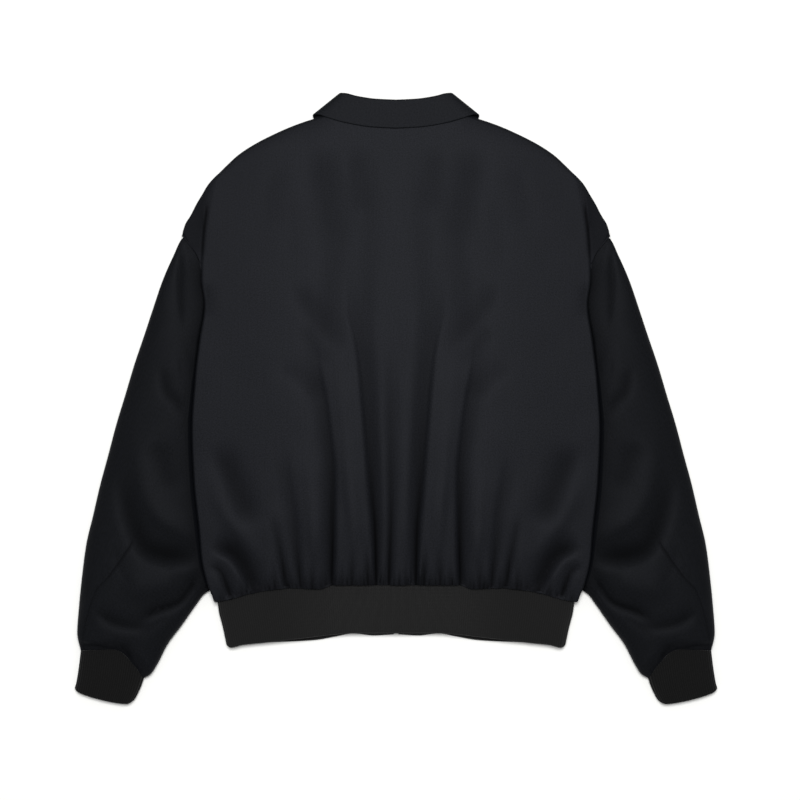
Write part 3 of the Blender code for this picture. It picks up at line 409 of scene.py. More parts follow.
def twill_cloth(name, dark, light, gloss, roughness):
    """Twill lines, slubs along the warp and a fine speckle, over a softly glossy dark dye."""
    material, tree = new_material(name)
    mm = cloth_place(tree)
    steep = add_node(tree, "ShaderNodeMapping", Vector=mm, Rotation=(0, 0, math.radians(18))).outputs[0]
    twill = add_node(tree, "ShaderNodeTexWave", {"wave_profile": "SIN"}, Vector=steep,
                     Scale=math.pi / (10 * TWILL_PITCH_MM), Distortion=1.5, Detail=1.0).outputs[1]
    warp = add_node(tree, "ShaderNodeMapping", Vector=mm, Scale=(0.45, 0.02, 1)).outputs[0]
    slubs = add_node(tree, "ShaderNodeTexNoise", Vector=warp, Scale=1.0, Detail=3.0).outputs[0]
    speck = add_node(tree, "ShaderNodeTexNoise", Vector=mm, Scale=0.55, Detail=4.0,
                     Roughness=0.7).outputs[0]
    both = add_node(tree, "ShaderNodeMix", {"data_type": "FLOAT"}, Factor=0.1, A=speck,
                    B=slubs).outputs[0]
    tone = add_node(tree, "ShaderNodeMapRange", Value=both, _1=0.36, _2=0.64).outputs[0]
    colour = add_node(tree, "ShaderNodeMix", {"data_type": "RGBA"}, _0=tone, _6=linear(dark),
                      _7=linear(light)).outputs[2]
    # painted shade from the point attribute darkens the colour
    colour, dull = apply_painted_shade(tree, colour, roughness)
    height = add_node(tree, "ShaderNodeMix", {"data_type": "FLOAT"}, Factor=0.55, A=twill,
                      B=speck).outputs[0]
    bump = add_node(tree, "ShaderNodeBump", Height=height, Strength=0.35, Distance=0.00022).outputs[0]
    cloth = add_node(tree, "ShaderNodeBsdfPrincipled", Base_Color=colour, Roughness=dull,
                     IOR=1.45, Normal=bump, Sheen_Weight=0.015, Sheen_Roughness=0.5,
                     Sheen_Tint=linear("#9FA8C0"))
    cloth.inputs["Specular IOR Level"].default_value = gloss
    cloth.inputs["Specular Tint"].default_value = linear("#DEE1EC")
    add_node(tree, "ShaderNodeOutputMaterial", Surface=cloth.outputs[0])
    return material


gabardine = twill_cloth("black_worsted_gabardine", "#0A0B0D", "#18191D", 0.10, 0.55)
# Darker copies with less gloss: painted shade on the sleeves and on the collar
shaded_sleeve_gabardine = twill_cloth("black_worsted_gabardine_shaded_sleeves", "#08090A", "#131417", 0.06, 0.55)
shaded_collar_gabardine = twill_cloth("black_worsted_gabardine_shaded_collar", "#090A0C", "#16171A", 0.075, 0.55)
print(gabardine.name, "twill drawn every", TWILL_PITCH_MM, "mm")

# %% Rib knit
STITCH_MM = 1.7          # height of a knit stitch; the real one is about 1.2 mm


def rib_cloth(name, dark, light, gloss):
    """Matt knit yarn: rows of stitches across each rib and a hairy, uneven tone.

    The furrows between the ribs are darker, because little light reaches them.
    """
    material, tree = new_material(name)
    mm = cloth_place(tree)
    courses = add_node(tree, "ShaderNodeTexWave", {"bands_direction": "Y"}, Vector=mm,
                       Scale=math.pi / (10 * STITCH_MM), Distortion=2.5, Detail=2.0).outputs[1]
    fuzz = add_node(tree, "ShaderNodeTexNoise", Vector=mm, Scale=0.7, Detail=5.0, Roughness=0.75).outputs[0]
    tone = add_node(tree, "ShaderNodeMapRange", Value=fuzz, _1=0.35, _2=0.65).outputs[0]
    colour = add_node(tree, "ShaderNodeMix", {"data_type": "RGBA"}, _0=tone, _6=linear(dark),
                      _7=linear(light)).outputs[2]
    # Painted shade in the furrows between the ribs, where the surface is hollow
    crest = add_node(tree, "ShaderNodeNewGeometry").outputs["Pointiness"]
    unshaded_share = add_node(tree, "ShaderNodeMapRange", Value=crest, _1=0.47, _2=0.53).outputs[0]
    colour = add_node(tree, "ShaderNodeMix", {"data_type": "RGBA"}, _0=unshaded_share,
                      _6=linear("#040404"), _7=colour).outputs[2]
    height = add_node(tree, "ShaderNodeMix", {"data_type": "FLOAT"}, Factor=0.5, A=courses,
                      B=fuzz).outputs[0]
    bump = add_node(tree, "ShaderNodeBump", Height=height, Strength=0.6, Distance=0.0004).outputs[0]
    # painted shade from the point attribute darkens the colour
    colour, dull = apply_painted_shade(tree, colour, 0.45)
    knit = add_node(tree, "ShaderNodeBsdfPrincipled", Base_Color=colour, Roughness=dull, IOR=1.45,
                    Normal=bump, Sheen_Weight=0.08, Sheen_Roughness=0.6)
    knit.inputs["Specular IOR Level"].default_value = gloss
    add_node(tree, "ShaderNodeOutputMaterial", Surface=knit.outputs[0])
    return material


rib_knit = rib_cloth("black_wool_rib_knit", "#090909", "#141414", 0.15)
# A darker copy with less gloss: painted shade on the cuffs
cuff_rib = rib_cloth("black_wool_rib_knit_shaded_cuffs", "#050505", "#0D0D0D", 0.045)
print(rib_knit.name, "stitch rows every", STITCH_MM, "mm")

# %% [markdown]
# ## The body: one back and two fronts
#
# The back is one piece of cloth. It covers the body's sides, turns over them and meets
# the fronts underneath, and it is gathered into the band below, so its folds start tight
# at the hem and fade towards the shoulder blades. On the real jacket they are what is
# left of the gathers when the cloth is smoothed by hand. The surface is a height over the
# table at each point, lowered along every fold line; columns of the mesh run along the
# folds, close together where the folds are tight.

# %% Body lines in millimetres
SIDES = (("left", -1), ("right", 1))    # the wearer's: face down, left lies at -X
CLOTH = 1.2             # body and sleeve cloth
COLLAR_CLOTH = 1.6      # two layers and interlining
RIB = 2.4               # folded rib knit
SEAM_GAP = 0.4          # between pieces that are sewn together
SIDE_TURN = 12.0        # side seam lies this far in from the body's side fold
SIDE_ROUND = 3.0        # plan width of the rounded side fold
SHOULDER_ROUND = 4.0    # plan width of the rounded shoulder edge
SHOULDER_SEAM_Z = 6.4   # the shoulder seam lies on the outline at this height
UNDERARM_Y = 20.0
NOTCH_Y = 205.0         # where shoulder, armhole and sleeve meet
LOBE_LIFT = 8.8         # fronts pass this high over the folded sleeve
COLLAR_LIFT = 2.4       # fronts pass this high over the collar's front falls
ZIP_LIFT = 4.3          # fronts rise this high over the slider
RIB_TOP = 14.0          # height of the flattened hem band
RIB_HALF = 223.8        # half width of the hem band at its seam
CUFF_TOP = 12.0
CHAIN_HALF = 2.6        # half width of the zip chain
FRONT_EDGE = CHAIN_HALF + 0.4   # the front edges stop this far from the centre
TAPE_WIDTH = 14.0
TAPE = 0.7              # zip tape thickness
ZIP_TOP_Y = 261.0
ZIP_BOTTOM_Y = -288.0
SLIDER_Y = 243.0        # hinge axis of the pull tab

# Outline of the body's side fold: (y, half width)
SIDE_FOLD = (
    (-252.5, 227.5), (-244, 230), (-231, 235), (-200, 242.5), (-162, 246), (-100, 252.5),
    (-37, 255), (25, 251), (75, 245), (119, 238.8), (150, 242.5), (194, 241), (237, 236),
    (271, 229), (285, 220))
# Outline of the shoulder from the collar to the notch: (half width, y)
SHOULDER = (
    (86, 357.5), (92, 356), (105, 351.3), (112.5, 348.9), (130, 342.5), (155, 331.3),
    (178.8, 318.8), (197.5, 306.3), (211.3, 293.8), (223.8, 281.3), (235, 268.8),
    (242.5, 256.3), (250, 243.8), (256.3, 231.3), (263.8, 218.8), (267.5, 205))
BACK_NECK = ((0, 347), (20, 347.5), (45, 350), (70, 355.5), (86, 357.5))
FRONT_NECK = ((3, 271), (20, 273), (40, 281), (60, 301), (74, 327), (86, 357.5))
# Armhole edge of back and front: (y, half width)
BACK_ARMHOLE = ((20, 239), (40, 236), (70, 233), (110, 235), (150, 240), (179, 247.5), (205, 267.5))
FRONT_ARMHOLE = ((20, 239), (40, 237), (70, 236), (110, 238), (150, 244), (180, 253), (205, 267.5))
# Height of the back's armhole edge: (y, z)
ARMHOLE_Z = ((20, 9.4), (45, 11.0), (90, 12.0), (182, 13.2), (205, 11.5), (285, 12.0))
# Inner fold of the sleeve where the body lies on it: (y, half width)
SLEEVE_LOBE = (
    (-252, 262), (-244, 246), (-236, 231), (-208, 212), (-170, 196), (-120, 192),
    (-60, 205), (0, 226), (24, 241), (50, 262), (76, 292))
# Visible lower edge of the back panel: (half width, y)
BACK_HEM = ((0, -231), (78, -231), (95, -236), (130, -235), (179, -241), (210, -249), (228, -252))
# Height of the back's outer surface: (y, at the side, at the centre)
BACK_HEIGHT = (
    (-252, 19, 20), (-215, 22, 25), (-150, 23, 28), (-40, 22, 27), (60, 21, 24),
    (119, 20.5, 22.5), (200, 18, 20), (271, 14.5, 17), (320, 13.2, 15), (360, 12.4, 13.4))
# The back's lowest rows, where it puffs over the band: above the lower edge, share of
# height, above the lower edge where the side turns under
HEM_PUFF = ((2.8, 0.0, 2.8), (0.6, 0.30, 3.5), (0.0, 0.58, 4.4), (2.4, 0.84, 5.8), (8.0, 1.0, 8.0))
# Cloth columns of the back: distance across, then half width at each y
COLUMN_ACROSS = (0.0, 0.2, 0.42, 1.0)
COLUMN_TROUGH = ((-235, -9), (-40, -7), (119, -5), (250, 0), (360, 0))
COLUMN_INNER = ((-235, 25), (-131, 28), (-37, 34), (50, 42), (119, 56), (181, 58), (360, 50))
COLUMN_SECOND = ((-235, 80), (-131, 78), (-37, 83), (50, 97), (119, 106), (360, 98))

print("body width over the sides, mm:", 2 * max(row[1] for row in SIDE_FOLD))

# %% Folds of the back
# Each fold: name, one or a pair, depth at both ends, half width at both ends, points
BACK_FOLDS = (
    ("centre trough", "one", -0.8, -6.2, 10, 4.4,
     ((-3, 90), (-5, 30), (-6, -50), (-6, -125), (-8, -200), (-9, -232))),
    ("inner trough", "pair", -1.0, -9.0, 14, 4.4,
     ((56, 185), (56, 119), (49, 88), (42, 50), (37.5, 0), (33, -62), (29, -125), (26, -165), (25, -232))),
    ("inner ridge", "pair", 0.6, 2.0, 15, 7.5,
     ((27, 212), (24, 100), (20, 25), (16, -62), (13.5, -131), (11, -215))),
    ("second trough", "pair", -0.8, -9.5, 12, 4.6,
     ((105, 112), (99, 40), (91, 0), (84, -50), (79.5, -88), (79, -162), (80, -233))),
    ("second ridge", "pair", 0.8, 4.0, 18, 9.0,
     ((74, 100), (66, 0), (57, -100), (52, -165), (50, -212))),
    ("third trough", "pair", -0.8, -5.5, 13, 5.0,
     ((144, -40), (136, -100), (127, -150), (122, -200), (118, -233))),
    ("third ridge", "pair", 0.5, 3.4, 18, 8.0,
     ((112, -50), (104, -120), (99, -212))),
    ("fourth trough", "pair", -1.0, -7.5, 7, 4.4,
     ((156, -135), (147, -175), (141, -205), (137, -234))),
    ("side hollow", "pair", -4.0, -4.0, 17, 14,
     ((224, -50), (208, -92), (192, -130), (176, -165))),
    ("side ridge", "pair", 1.0, 3.0, 14, 9,
     ((228, -95), (216, -130), (196, -165), (170, -212))),
    ("corner trough", "pair", -8.0, -9.0, 12, 8.5,
     ((232, -182), (208, -188), (190, -208), (176, -240))),
    ("low corner trough", "pair", -3.5, -7.0, 6, 4.8,
     ((233, -204), (219, -213), (207, -243))),
    ("blade hollow", "pair", -1.6, -1.2, 20, 26,
     ((102, 325), (93, 285), (84, 235), (76, 180))),
    ("outer blade hollow", "pair", -0.9, -0.9, 18, 24,
     ((144, 305), (156, 255), (164, 200))),
    ("blade crease", "pair", -0.4, -0.4, 14, 18,
     ((124, 262), (127, 210), (128, 155))),
    ("neck hollow", "pair", -1.1, -0.9, 14, 18,
     ((50, 325), (48, 280), (46, 225))),
    ("upper diagonal", "pair", -1.4, -1.1, 13, 15,
     ((130, 150), (106, 112), (82, 84), (58, 58))),
    ("middle diagonal", "pair", -0.9, -0.7, 11, 12,
     ((120, 92), (98, 62), (82, 40))),
    ("lower diagonal", "pair", -0.8, -1.5, 13, 11,
     ((152, 44), (114, 24), (90, -4))),
    ("long hollow", "pair", -0.5, -0.9, 16, 13,
     ((30, 330), (33, 230), (37, 130), (40, 60))),
    ("outer long hollow", "pair", -0.8, -1.2, 18, 15,
     ((72, 230), (80, 170), (86, 110), (88, 60))),
    ("kink crease", "pair", -1.8, -0.8, 6, 8,
     ((238, 150), (235, 125), (238, 92))),
)
# Short gathers above the hem seam: x at the seam, length, depth, half width
HEM_GATHERS = (
    (13, 30, 1.6, 3.0), (35, 62, 3.6, 3.4), (44, 26, 1.4, 3.0), (55, 60, 2.6, 4.0),
    (67, 34, 1.6, 3.4), (93, 30, 1.8, 3.6), (104, 52, 2.6, 3.8), (112, 26, 1.4, 3.2),
    (129, 30, 1.6, 3.4), (151, 44, 2.4, 4.0), (163, 26, 1.6, 3.6), (192, 30, 2.0, 4.2),
    (219, 20, 1.6, 4.0))
# Small pleats close to the seam, where the gathering thread draws the cloth up:
# place across, length, depth, half width
FINE_GATHERS = (
    (-214, 12, 0.9, 1.6), (-207, 17, 1.1, 1.8), (-199, 10, 0.8, 1.5), (-186, 22, 1.2, 2.0),
    (-181, 11, 0.9, 1.5), (-172, 14, 1.0, 1.7), (-158, 18, 1.1, 1.8), (-147, 11, 0.8, 1.5),
    (-134, 20, 1.2, 1.9), (-124, 13, 0.9, 1.6), (-116, 16, 1.2, 1.6), (-108, 10, 0.9, 1.4),
    (-99, 13, 0.8, 1.6), (-88, 20, 1.4, 1.6), (-84, 14, 1.2, 1.3), (-76, 18, 1.5, 1.4),
    (-71, 12, 1.1, 1.3), (-61, 15, 1.2, 1.6), (-50, 12, 0.9, 1.5), (-40, 17, 1.3, 1.5),
    (-31, 22, 1.5, 1.5), (-28, 12, 1.2, 1.2), (-20, 18, 1.4, 1.4), (-16, 11, 1.0, 1.2),
    (-3, 13, 0.9, 1.5), (4, 18, 1.1, 1.7), (15, 12, 1.0, 1.3), (19, 20, 1.4, 1.4),
    (28, 15, 1.3, 1.3), (32, 24, 1.5, 1.5), (41, 12, 1.0, 1.4), (49, 17, 1.0, 1.7),
    (60, 13, 1.1, 1.4), (70, 16, 1.4, 1.4), (74, 11, 1.1, 1.2), (83, 19, 1.5, 1.4),
    (88, 13, 1.1, 1.4), (97, 15, 0.9, 1.6), (109, 18, 1.2, 1.6), (114, 11, 1.0, 1.3),
    (122, 14, 1.0, 1.6), (133, 21, 1.2, 1.8), (144, 12, 0.9, 1.5), (156, 17, 1.1, 1.8),
    (168, 12, 0.9, 1.6), (179, 21, 1.2, 2.0), (188, 12, 0.9, 1.6), (201, 15, 1.0, 1.8),
    (211, 11, 0.8, 1.6))
# What the hand left in the cloth: wavelength, direction, height, phase
HAND_WAVES = ((57, 38, 0.07, 0.4), (41, -44, 0.05, 2.1), (93, 21, 0.14, 4.0), (71, 95, 0.08, 1.2),
              (29, 64, 0.02, 5.1), (48, 121, 0.04, 3.3))
print(len(BACK_FOLDS), "folds,", 2 * len(HEM_GATHERS) + len(FINE_GATHERS), "gathers")


# %% Sides and lower heights of the body
def side_x(y):
    return smooth(SIDE_FOLD, y)


def shoulder_x(y):
    rows = [(y_, x_) for x_, y_ in reversed(SHOULDER)]
    return smooth(rows, y)


def seam_half_width(y, armhole):
    """Outer boundary of a body panel: side seam, then armhole, then shoulder."""
    below = side_x(y) - SIDE_TURN
    arm = smooth(armhole, y)
    return np.where(y < UNDERARM_Y, below, np.where(y < NOTCH_Y, arm, shoulder_x(y)))


def front_lift(x, y):
    """Height of the fronts' lower surface: flat on the table, raised over what lies below."""
    across = np.abs(x)
    lobe = smooth(SLEEVE_LOBE, y)
    over_sleeve = LOBE_LIFT * ramp(across, lobe - 34, lobe - 4)
    over_collar = COLLAR_LIFT * ramp(y, 158, 184) * (1 - ramp(across, 112, 142))
    over_slider = ZIP_LIFT * ramp(y, 176, 200) * (1 - ramp(across, 7, 33))
    return np.maximum(over_sleeve, np.maximum(over_collar, over_slider))


def seam_z(y):
    """Height of the back panel's outer boundary."""
    side = front_lift(side_x(y) - SIDE_TURN, y)
    return np.where(y < UNDERARM_Y, side, smooth(ARMHOLE_Z, y))


print("half width at the underarm, mm:", round(float(side_x(UNDERARM_Y)), 1))


# %% Hem, neck and shoulder edges
def hem_y(x):
    return smooth(BACK_HEM, np.abs(x))


def top_y(x, neck):
    across = np.abs(x)
    return np.where(across < SHOULDER[0][0], smooth(neck, across), smooth(SHOULDER, across))


def shoulder_slope(x):
    across = np.abs(x)
    return (smooth(SHOULDER, across + 1.5) - smooth(SHOULDER, across - 1.5)) / 3.0


def shoulder_share(x):
    """0 along the neck, 1 along the shoulder."""
    return ramp(np.abs(x), 72, 92)


def round_width(x):
    """Rounding of the shoulder edge, measured along Y."""
    slope = np.clip(shoulder_slope(x), -2.2, 2.2)
    return SHOULDER_ROUND * np.sqrt(1 + slope ** 2)


def panel_end(top_x, neck):
    """Where a body panel's columns end at the top, and how long their rounding is there."""
    return top_y(top_x, neck) - 0.5 * SEAM_GAP * (1 - shoulder_share(top_x)), round_width(top_x)


def meet_seam(z, seam, left_over, top_x):
    """Bend a panel round to the shoulder seam's height; the neck edge stays as it was.

    left_over is the distance to the edge as a share of the rounding.
    """
    bent = np.sqrt(np.clip(1 - (1 - np.clip(left_over, 0, 1)) ** 2, 0, 1))
    return mix(z, mix(seam, z, bent), shoulder_share(top_x))


print("the neck edge at the centre back, mm:", round(float(panel_end(0.0, BACK_NECK)[0]), 1))

# %% Height of the back
# Which bank of a fold is steep: below zero the inner one, above zero the outer one
LEANS = {"inner trough": 0.55, "second trough": -0.55, "third trough": -0.4, "corner trough": 0.4}
GATHER_PULL = 1.3        # the cloth's gathers are this much deeper than their table says
PLEAT_PULL = 2.4         # and its small pleats this much
PLEAT_SLANT = 0.05       # the small pleats drift this far sideways for each mm of height
LOWEST_HEM = 15.0        # no gather comes lower than this at the hem seam
LOWEST_BACK = 12.4       # nor any fold lower than this over the fronts
LAST_FOLD_Y = -225.0     # folds that end below here run on into the seam
CREASE_DROP = 1.2        # depth of the crease at the shoulder
CREASE_HALF = 2.3        # and its half width


def gather_heights(x, y, hem):
    """Gathers at the seam, and the painted shade in them, 0 to 1."""
    up = y - hem
    gathers = [(np.abs(x) - at, length, GATHER_PULL * depth, width, depth / 3)
               for at, length, depth, width in HEM_GATHERS]
    gathers += [(x - at - PLEAT_SLANT * up, 1.3 * length, PLEAT_PULL * depth, width, 0.8 * depth)
                for at, length, depth, width in FINE_GATHERS]
    total = np.zeros(np.shape(x))
    open_share = np.ones(np.shape(x))
    for gap, length, depth, width, dark in gathers:
        shape = (1 - ease(up / length)) * np.exp(-np.abs(gap / width) ** 1.3)
        total -= depth * shape
        # painted shade in each gather, darkest at its bottom near the seam
        open_share *= 1 - np.clip(dark, 0, 0.95) * shape ** 1.6
    return total, 1 - open_share


def back_surface(x, y):
    """Outer surface of the back over the body with its folds, and the shade painted in them."""
    half = side_x(y)
    base = mix(smooth(BACK_HEIGHT, y, 2), smooth(BACK_HEIGHT, y, 1),
               np.clip(np.abs(x) / half, 0, 1) ** 2)
    folds, fold_shade = fold_heights(x, y, BACK_FOLDS, LEANS, LAST_FOLD_Y)
    gathers, gather_shade = gather_heights(x, y, hem_y(x))
    lowest = mix(LOWEST_HEM, LOWEST_BACK, ramp(y - hem_y(x), 4, 30)) * (1 - ramp(y, 150, 250))
    z = np.maximum(base + folds + gathers + soft_waves(x, y, HAND_WAVES), lowest)
    return z, np.maximum(fold_shade, gather_shade)


print("height of the back at its centre, mm:", round(float(back_surface(0.0, 0.0)[0]), 1))


# %% Columns and side edge of the back
def back_column_x(across, y):
    """Where the cloth column at a place across, -1 to 1, lies: it follows the gathers up."""
    shift = smooth(COLUMN_TROUGH, y)
    inner = smooth(COLUMN_INNER, y)
    second = smooth(COLUMN_SECOND, y)
    crest = side_x(y) - SIDE_ROUND
    u1, u2, u3 = COLUMN_ACROSS[1:]
    share = np.abs(across)
    sign = np.where(across < 0, -1.0, 1.0)
    first = mix(shift, sign * inner, share / u1)
    middle = sign * mix(inner, second, (share - u1) / (u2 - u1))
    outer = sign * mix(second, crest, (share - u2) / (u3 - u2))
    return np.where(share < u1, first, np.where(share < u2, middle, outer))


def back_edge_section(share, y, top_z):
    """The rounded side: over the fold, down, then to the side seam or armhole edge.

    Above the notch there is no side fold: the cloth runs flat out to the shoulder.
    """
    edge_x, edge_z = side_x(y), seam_z(y)
    end_x = seam_half_width(y, BACK_ARMHOLE)
    middle_z = 0.5 * (top_z + edge_z)
    angle = np.clip(share * 2, 0, 1) * math.pi / 2
    over_x = edge_x - SIDE_ROUND + SIDE_ROUND * np.sin(angle)
    over_z = middle_z + (top_z - middle_z) * np.cos(angle)
    t = np.clip(share * 2 - 1, 0, 1)
    under_x = edge_x * (1 - t) ** 2 + 2 * edge_x * t * (1 - t) + end_x * t * t
    under_z = middle_z * (1 - t) ** 2 + 2 * edge_z * t * (1 - t) + edge_z * t * t
    over_x, over_z = np.where(share < 0.5, over_x, under_x), np.where(share < 0.5, over_z, under_z)
    spread_out = ramp(y, 200, 262)
    flat_x = mix(edge_x - SIDE_ROUND, end_x, share)
    flat_z = mix(top_z, edge_z, share ** 2.2)
    return mix(over_x, flat_x, spread_out), mix(over_z, flat_z, spread_out)


def shoulder_crease(across, y):
    """The side fold runs on up as a crease; beyond it the dropped shoulder hangs back.
    Returns where the crease is, and the painted shade on the dropped shoulder beyond it.
    """
    off = across - side_x(y)
    start = ramp(y, 165, 193)
    crease = start * (1 - ramp(y, 256, 286)) * np.exp(-(off / CREASE_HALF) ** 2)
    dropped_shoulder_shade = start * (1 - ramp(y, 256, 306)) * ease(off / 6)
    return crease, dropped_shoulder_shade


print("the third column group starts at, mm:", round(float(back_column_x(COLUMN_ACROSS[2], 0.0)), 1))


# %% Rows of the back
def rounded_rows(end_y, round_y, top_angles):
    return [end_y - round_y * (1 - math.sin(angle)) for angle in top_angles]


def back_rows(low_y, under, rise, end_y, round_y, top_angles):
    """Rows of the back: over the puff at the hem, up the back and round the shoulder edge.

    under is 1 where the side turns under. Also the share of its full height that the cloth
    has reached in each row.
    """
    puff_y = np.linspace(0, 1, len(HEM_PUFF) * 3 - 2)
    steps = [(k / (len(HEM_PUFF) - 1), *row) for k, row in enumerate(HEM_PUFF)]
    ys = [low_y + mix(a, b, under) + 0.5 * SEAM_GAP * (t == 0) + 1.6 * under
          for t, a, b in zip(puff_y, smooth(steps, puff_y, 1), smooth(steps, puff_y, 3))]
    shares = [*smooth(steps, puff_y, 2), *[1.0] * (len(rise) + len(top_angles))]
    ys += [mix(ys[-1], end_y - round_y, value) for value in rise]
    ys += rounded_rows(end_y, round_y, top_angles)
    return np.array(ys), np.array(shares)[:, None]


print("rows in the puff over the hem seam:", 3 * len(HEM_PUFF) - 2)

# %% Grid of the back
# Painted shade at each place, as a share of the darkest crease
SIDE_DARK = 0.85         # where the side turns under
CREASE_DARK = 0.8        # in the crease at the shoulder
DROP_DARK = 0.35         # on the dropped shoulder beyond that crease
OUTER_DARK = 0.07        # on the outer parts of the back, which tilt a little
EDGE_DARK = 0.3          # along the rounded shoulder edge


def back_points(across, rise, top_angles):
    """Outer grid of the back: rows from the hem to the shoulder, columns side to side.

    Also the painted shade at each point: in folds and gathers, where the side turns under,
    in the shoulder crease and beyond it, on the outer parts and along the shoulder edge.
    """
    sign = np.where(across < 0, -1.0, 1.0)
    beyond = np.clip(np.abs(across) - 1, 0, 1)
    inner = np.clip(across, -1, 1)
    crest_top = SIDE_FOLD[-1][1]
    top_x = np.where(beyond > 0, mix(crest_top, SHOULDER[-1][0], beyond),
                     np.abs(back_column_x(inner, np.full_like(inner, 345.0))))
    end_y, round_y = panel_end(top_x, BACK_NECK)
    low_y = hem_y(back_column_x(inner, np.full_like(inner, -240.0)))
    under = ramp(beyond, 0.2, 0.6)
    y, puff = back_rows(low_y, under, rise, end_y, round_y, top_angles)
    across, sign, beyond = (np.broadcast_to(a, y.shape) for a in (across, sign, beyond))
    x = back_column_x(np.broadcast_to(inner, y.shape), y)
    lift = np.maximum(1 - (end_y - y) / 95.0, 0) * (beyond > 0)
    share = np.clip(beyond, 1e-6, 1) ** (1 - ease(lift))
    open_z, painted_shade = back_surface(x, y)
    z = mix(RIB_TOP + 1.0, open_z, puff)
    side_half, side_z = back_edge_section(share, y, z)
    x = np.where(beyond > 0, sign * side_half, x)
    z = np.where(beyond > 0, side_z, z)
    x = x * mix(RIB_HALF / side_x(-250.0), 1.0, ease(puff * 1.6))
    z = meet_seam(z, SHOULDER_SEAM_Z + 0.5 * SEAM_GAP, (end_y - y) / round_y, top_x)
    # Painted shade: where the side turns under, in the shoulder crease, on the dropped shoulder, on the
    # outer parts and along the shoulder edge
    side_turn_shade = SIDE_DARK * ease(beyond / 0.5) * (1 - ramp(y, 130, 180))
    crease, dropped_shoulder_shade = shoulder_crease(np.abs(x), y)
    z = z - CREASE_DROP * crease
    painted_shade = np.maximum.reduce([
        np.where(beyond > 0, side_turn_shade, painted_shade),
        CREASE_DARK * crease + DROP_DARK * dropped_shoulder_shade,
        OUTER_DARK * ramp(np.abs(x), 100, 190),
        EDGE_DARK * shoulder_share(top_x) * np.exp((y - end_y) / 10)])
    return np.stack([x, y, z], axis=-1), painted_shade


def spread(*stops):
    """Values from (end, count) stops, starting at 0, each stretch evenly divided."""
    values, start = [0.0], 0.0
    for end, count in stops:
        values += list(np.linspace(start, end, count + 1)[1:])
        start = end
    return np.array(values)


def both_sides(half):
    """The same values on both sides of zero."""
    return np.concatenate([-half[::-1][:-1], half])


print("two stretches, the first in two steps:", spread((0.5, 2), (1.0, 1)).tolist())

# %% Make the back
across = both_sides(spread((0.2, 28), (0.42, 34), (1.0, 62), (1.5, 10), (2.0, 10)))
rise = 1 - (1 - np.linspace(0, 1, 246)[1:]) ** 1.35
outer, painted_shade = back_points(across, rise, np.radians([20, 38, 52, 64, 74, 82, 90]))
normal = grid_normals(outer)
# Below the armholes both edges lie under the body and face down
level = outer[:, 0, 1] < UNDERARM_Y - 8
normal[level, 0] = normal[level, -1] = (0, 0, -1)
back_cloth = add_cloth("back_cloth", outer, normal, CLOTH, gabardine, painted_shade=painted_shade)
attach(back_cloth, "root")
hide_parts("back_panel")


# %% The two fronts, flat on the table
def front_points(across, rise, top_angles):
    """Outer (lower) grid of one front, from the zip edge to side seam and armhole."""
    top_x = mix(FRONT_EDGE, SHOULDER[-1][0], across)
    end_y, round_y = panel_end(top_x, FRONT_NECK)
    low_x = mix(FRONT_EDGE, seam_half_width(-250.0, FRONT_ARMHOLE) - SEAM_GAP, across)
    low_y = hem_y(low_x) + HEM_PUFF[0][0] + SEAM_GAP + 3.4 * ramp(across, 0.9, 0.98)
    y = np.array([mix(low_y, end_y - round_y, value) for value in rise]
                 + rounded_rows(end_y, round_y, top_angles))
    low = np.minimum(y, NOTCH_Y - 0.01)
    outline = seam_half_width(low, FRONT_ARMHOLE) - SEAM_GAP * (low < UNDERARM_Y)
    x = mix(FRONT_EDGE, outline, across)
    z = front_lift(x, y)
    z = meet_seam(z, SHOULDER_SEAM_Z - 0.5 * SEAM_GAP, (end_y - y) / round_y, top_x)
    return np.stack([x, y, z], axis=-1)


across = spread((0.14, 10), (0.8, 40), (1.0, 30))
rise = spread((0.07, 8), (0.7, 60), (1.0, 45))
outer = front_points(across, rise, np.radians([28, 48, 64, 78, 90]))
normal = -grid_normals(outer)
normal[outer[:, -1, 1] < UNDERARM_Y - 8, -1] = (0, 0, -1)
for word, side in SIDES:
    front_cloth = add_cloth(f"front_cloth_{word}", outer, normal, CLOTH, gabardine, side=side)
    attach(front_cloth, "root")
    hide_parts(f"front_{word}")

# %% [markdown]
# ## The sleeves
#
# Each sleeve is cut in two pieces, a top and an under sleeve, and lies folded flat: its
# outer fold makes the jacket's outline, and its inner fold goes under the side of the
# body. A sleeve is a tube, so a point on it is given by an angle round the tube and a
# share of its length. Seen from above, the seam between the two pieces runs in a slant
# from the side of the body to the outside of the cuff. The cloth bends at the elbow and
# slumps over the cuff, which gives the large soft folds.

# %% Sleeve lines in millimetres
# Sleeve edges in plan, from shoulder or underarm to the cuff seam
SLEEVE_OUTER = (
    (268.0, 203.6), (271.0, 201), (280, 181), (290, 156), (302.5, 119), (315, 81), (327.5, 44),
    (338.8, 6), (350, -31), (360, -69), (370, -106), (378.8, -144), (387.5, -181),
    (392.5, -219), (396.3, -256), (398.6, -290), (394.5, -313))
SLEEVE_INNER = (
    (239.6, 20.4), (236, 8), (224, -8), (205, -60), (192, -120), (197, -170), (212, -207),
    (231, -236), (241, -244), (250, -256), (267.5, -281), (286, -306), (299, -331), (307, -343),
    (315.5, -348))
# How far a section's inner end has come, by the share of its outer end
INNER_PACE = ((0, 0), (0.1, 0.01), (0.2, 0.035), (0.3, 0.10), (0.5, 0.36), (0.75, 0.72), (1, 1))
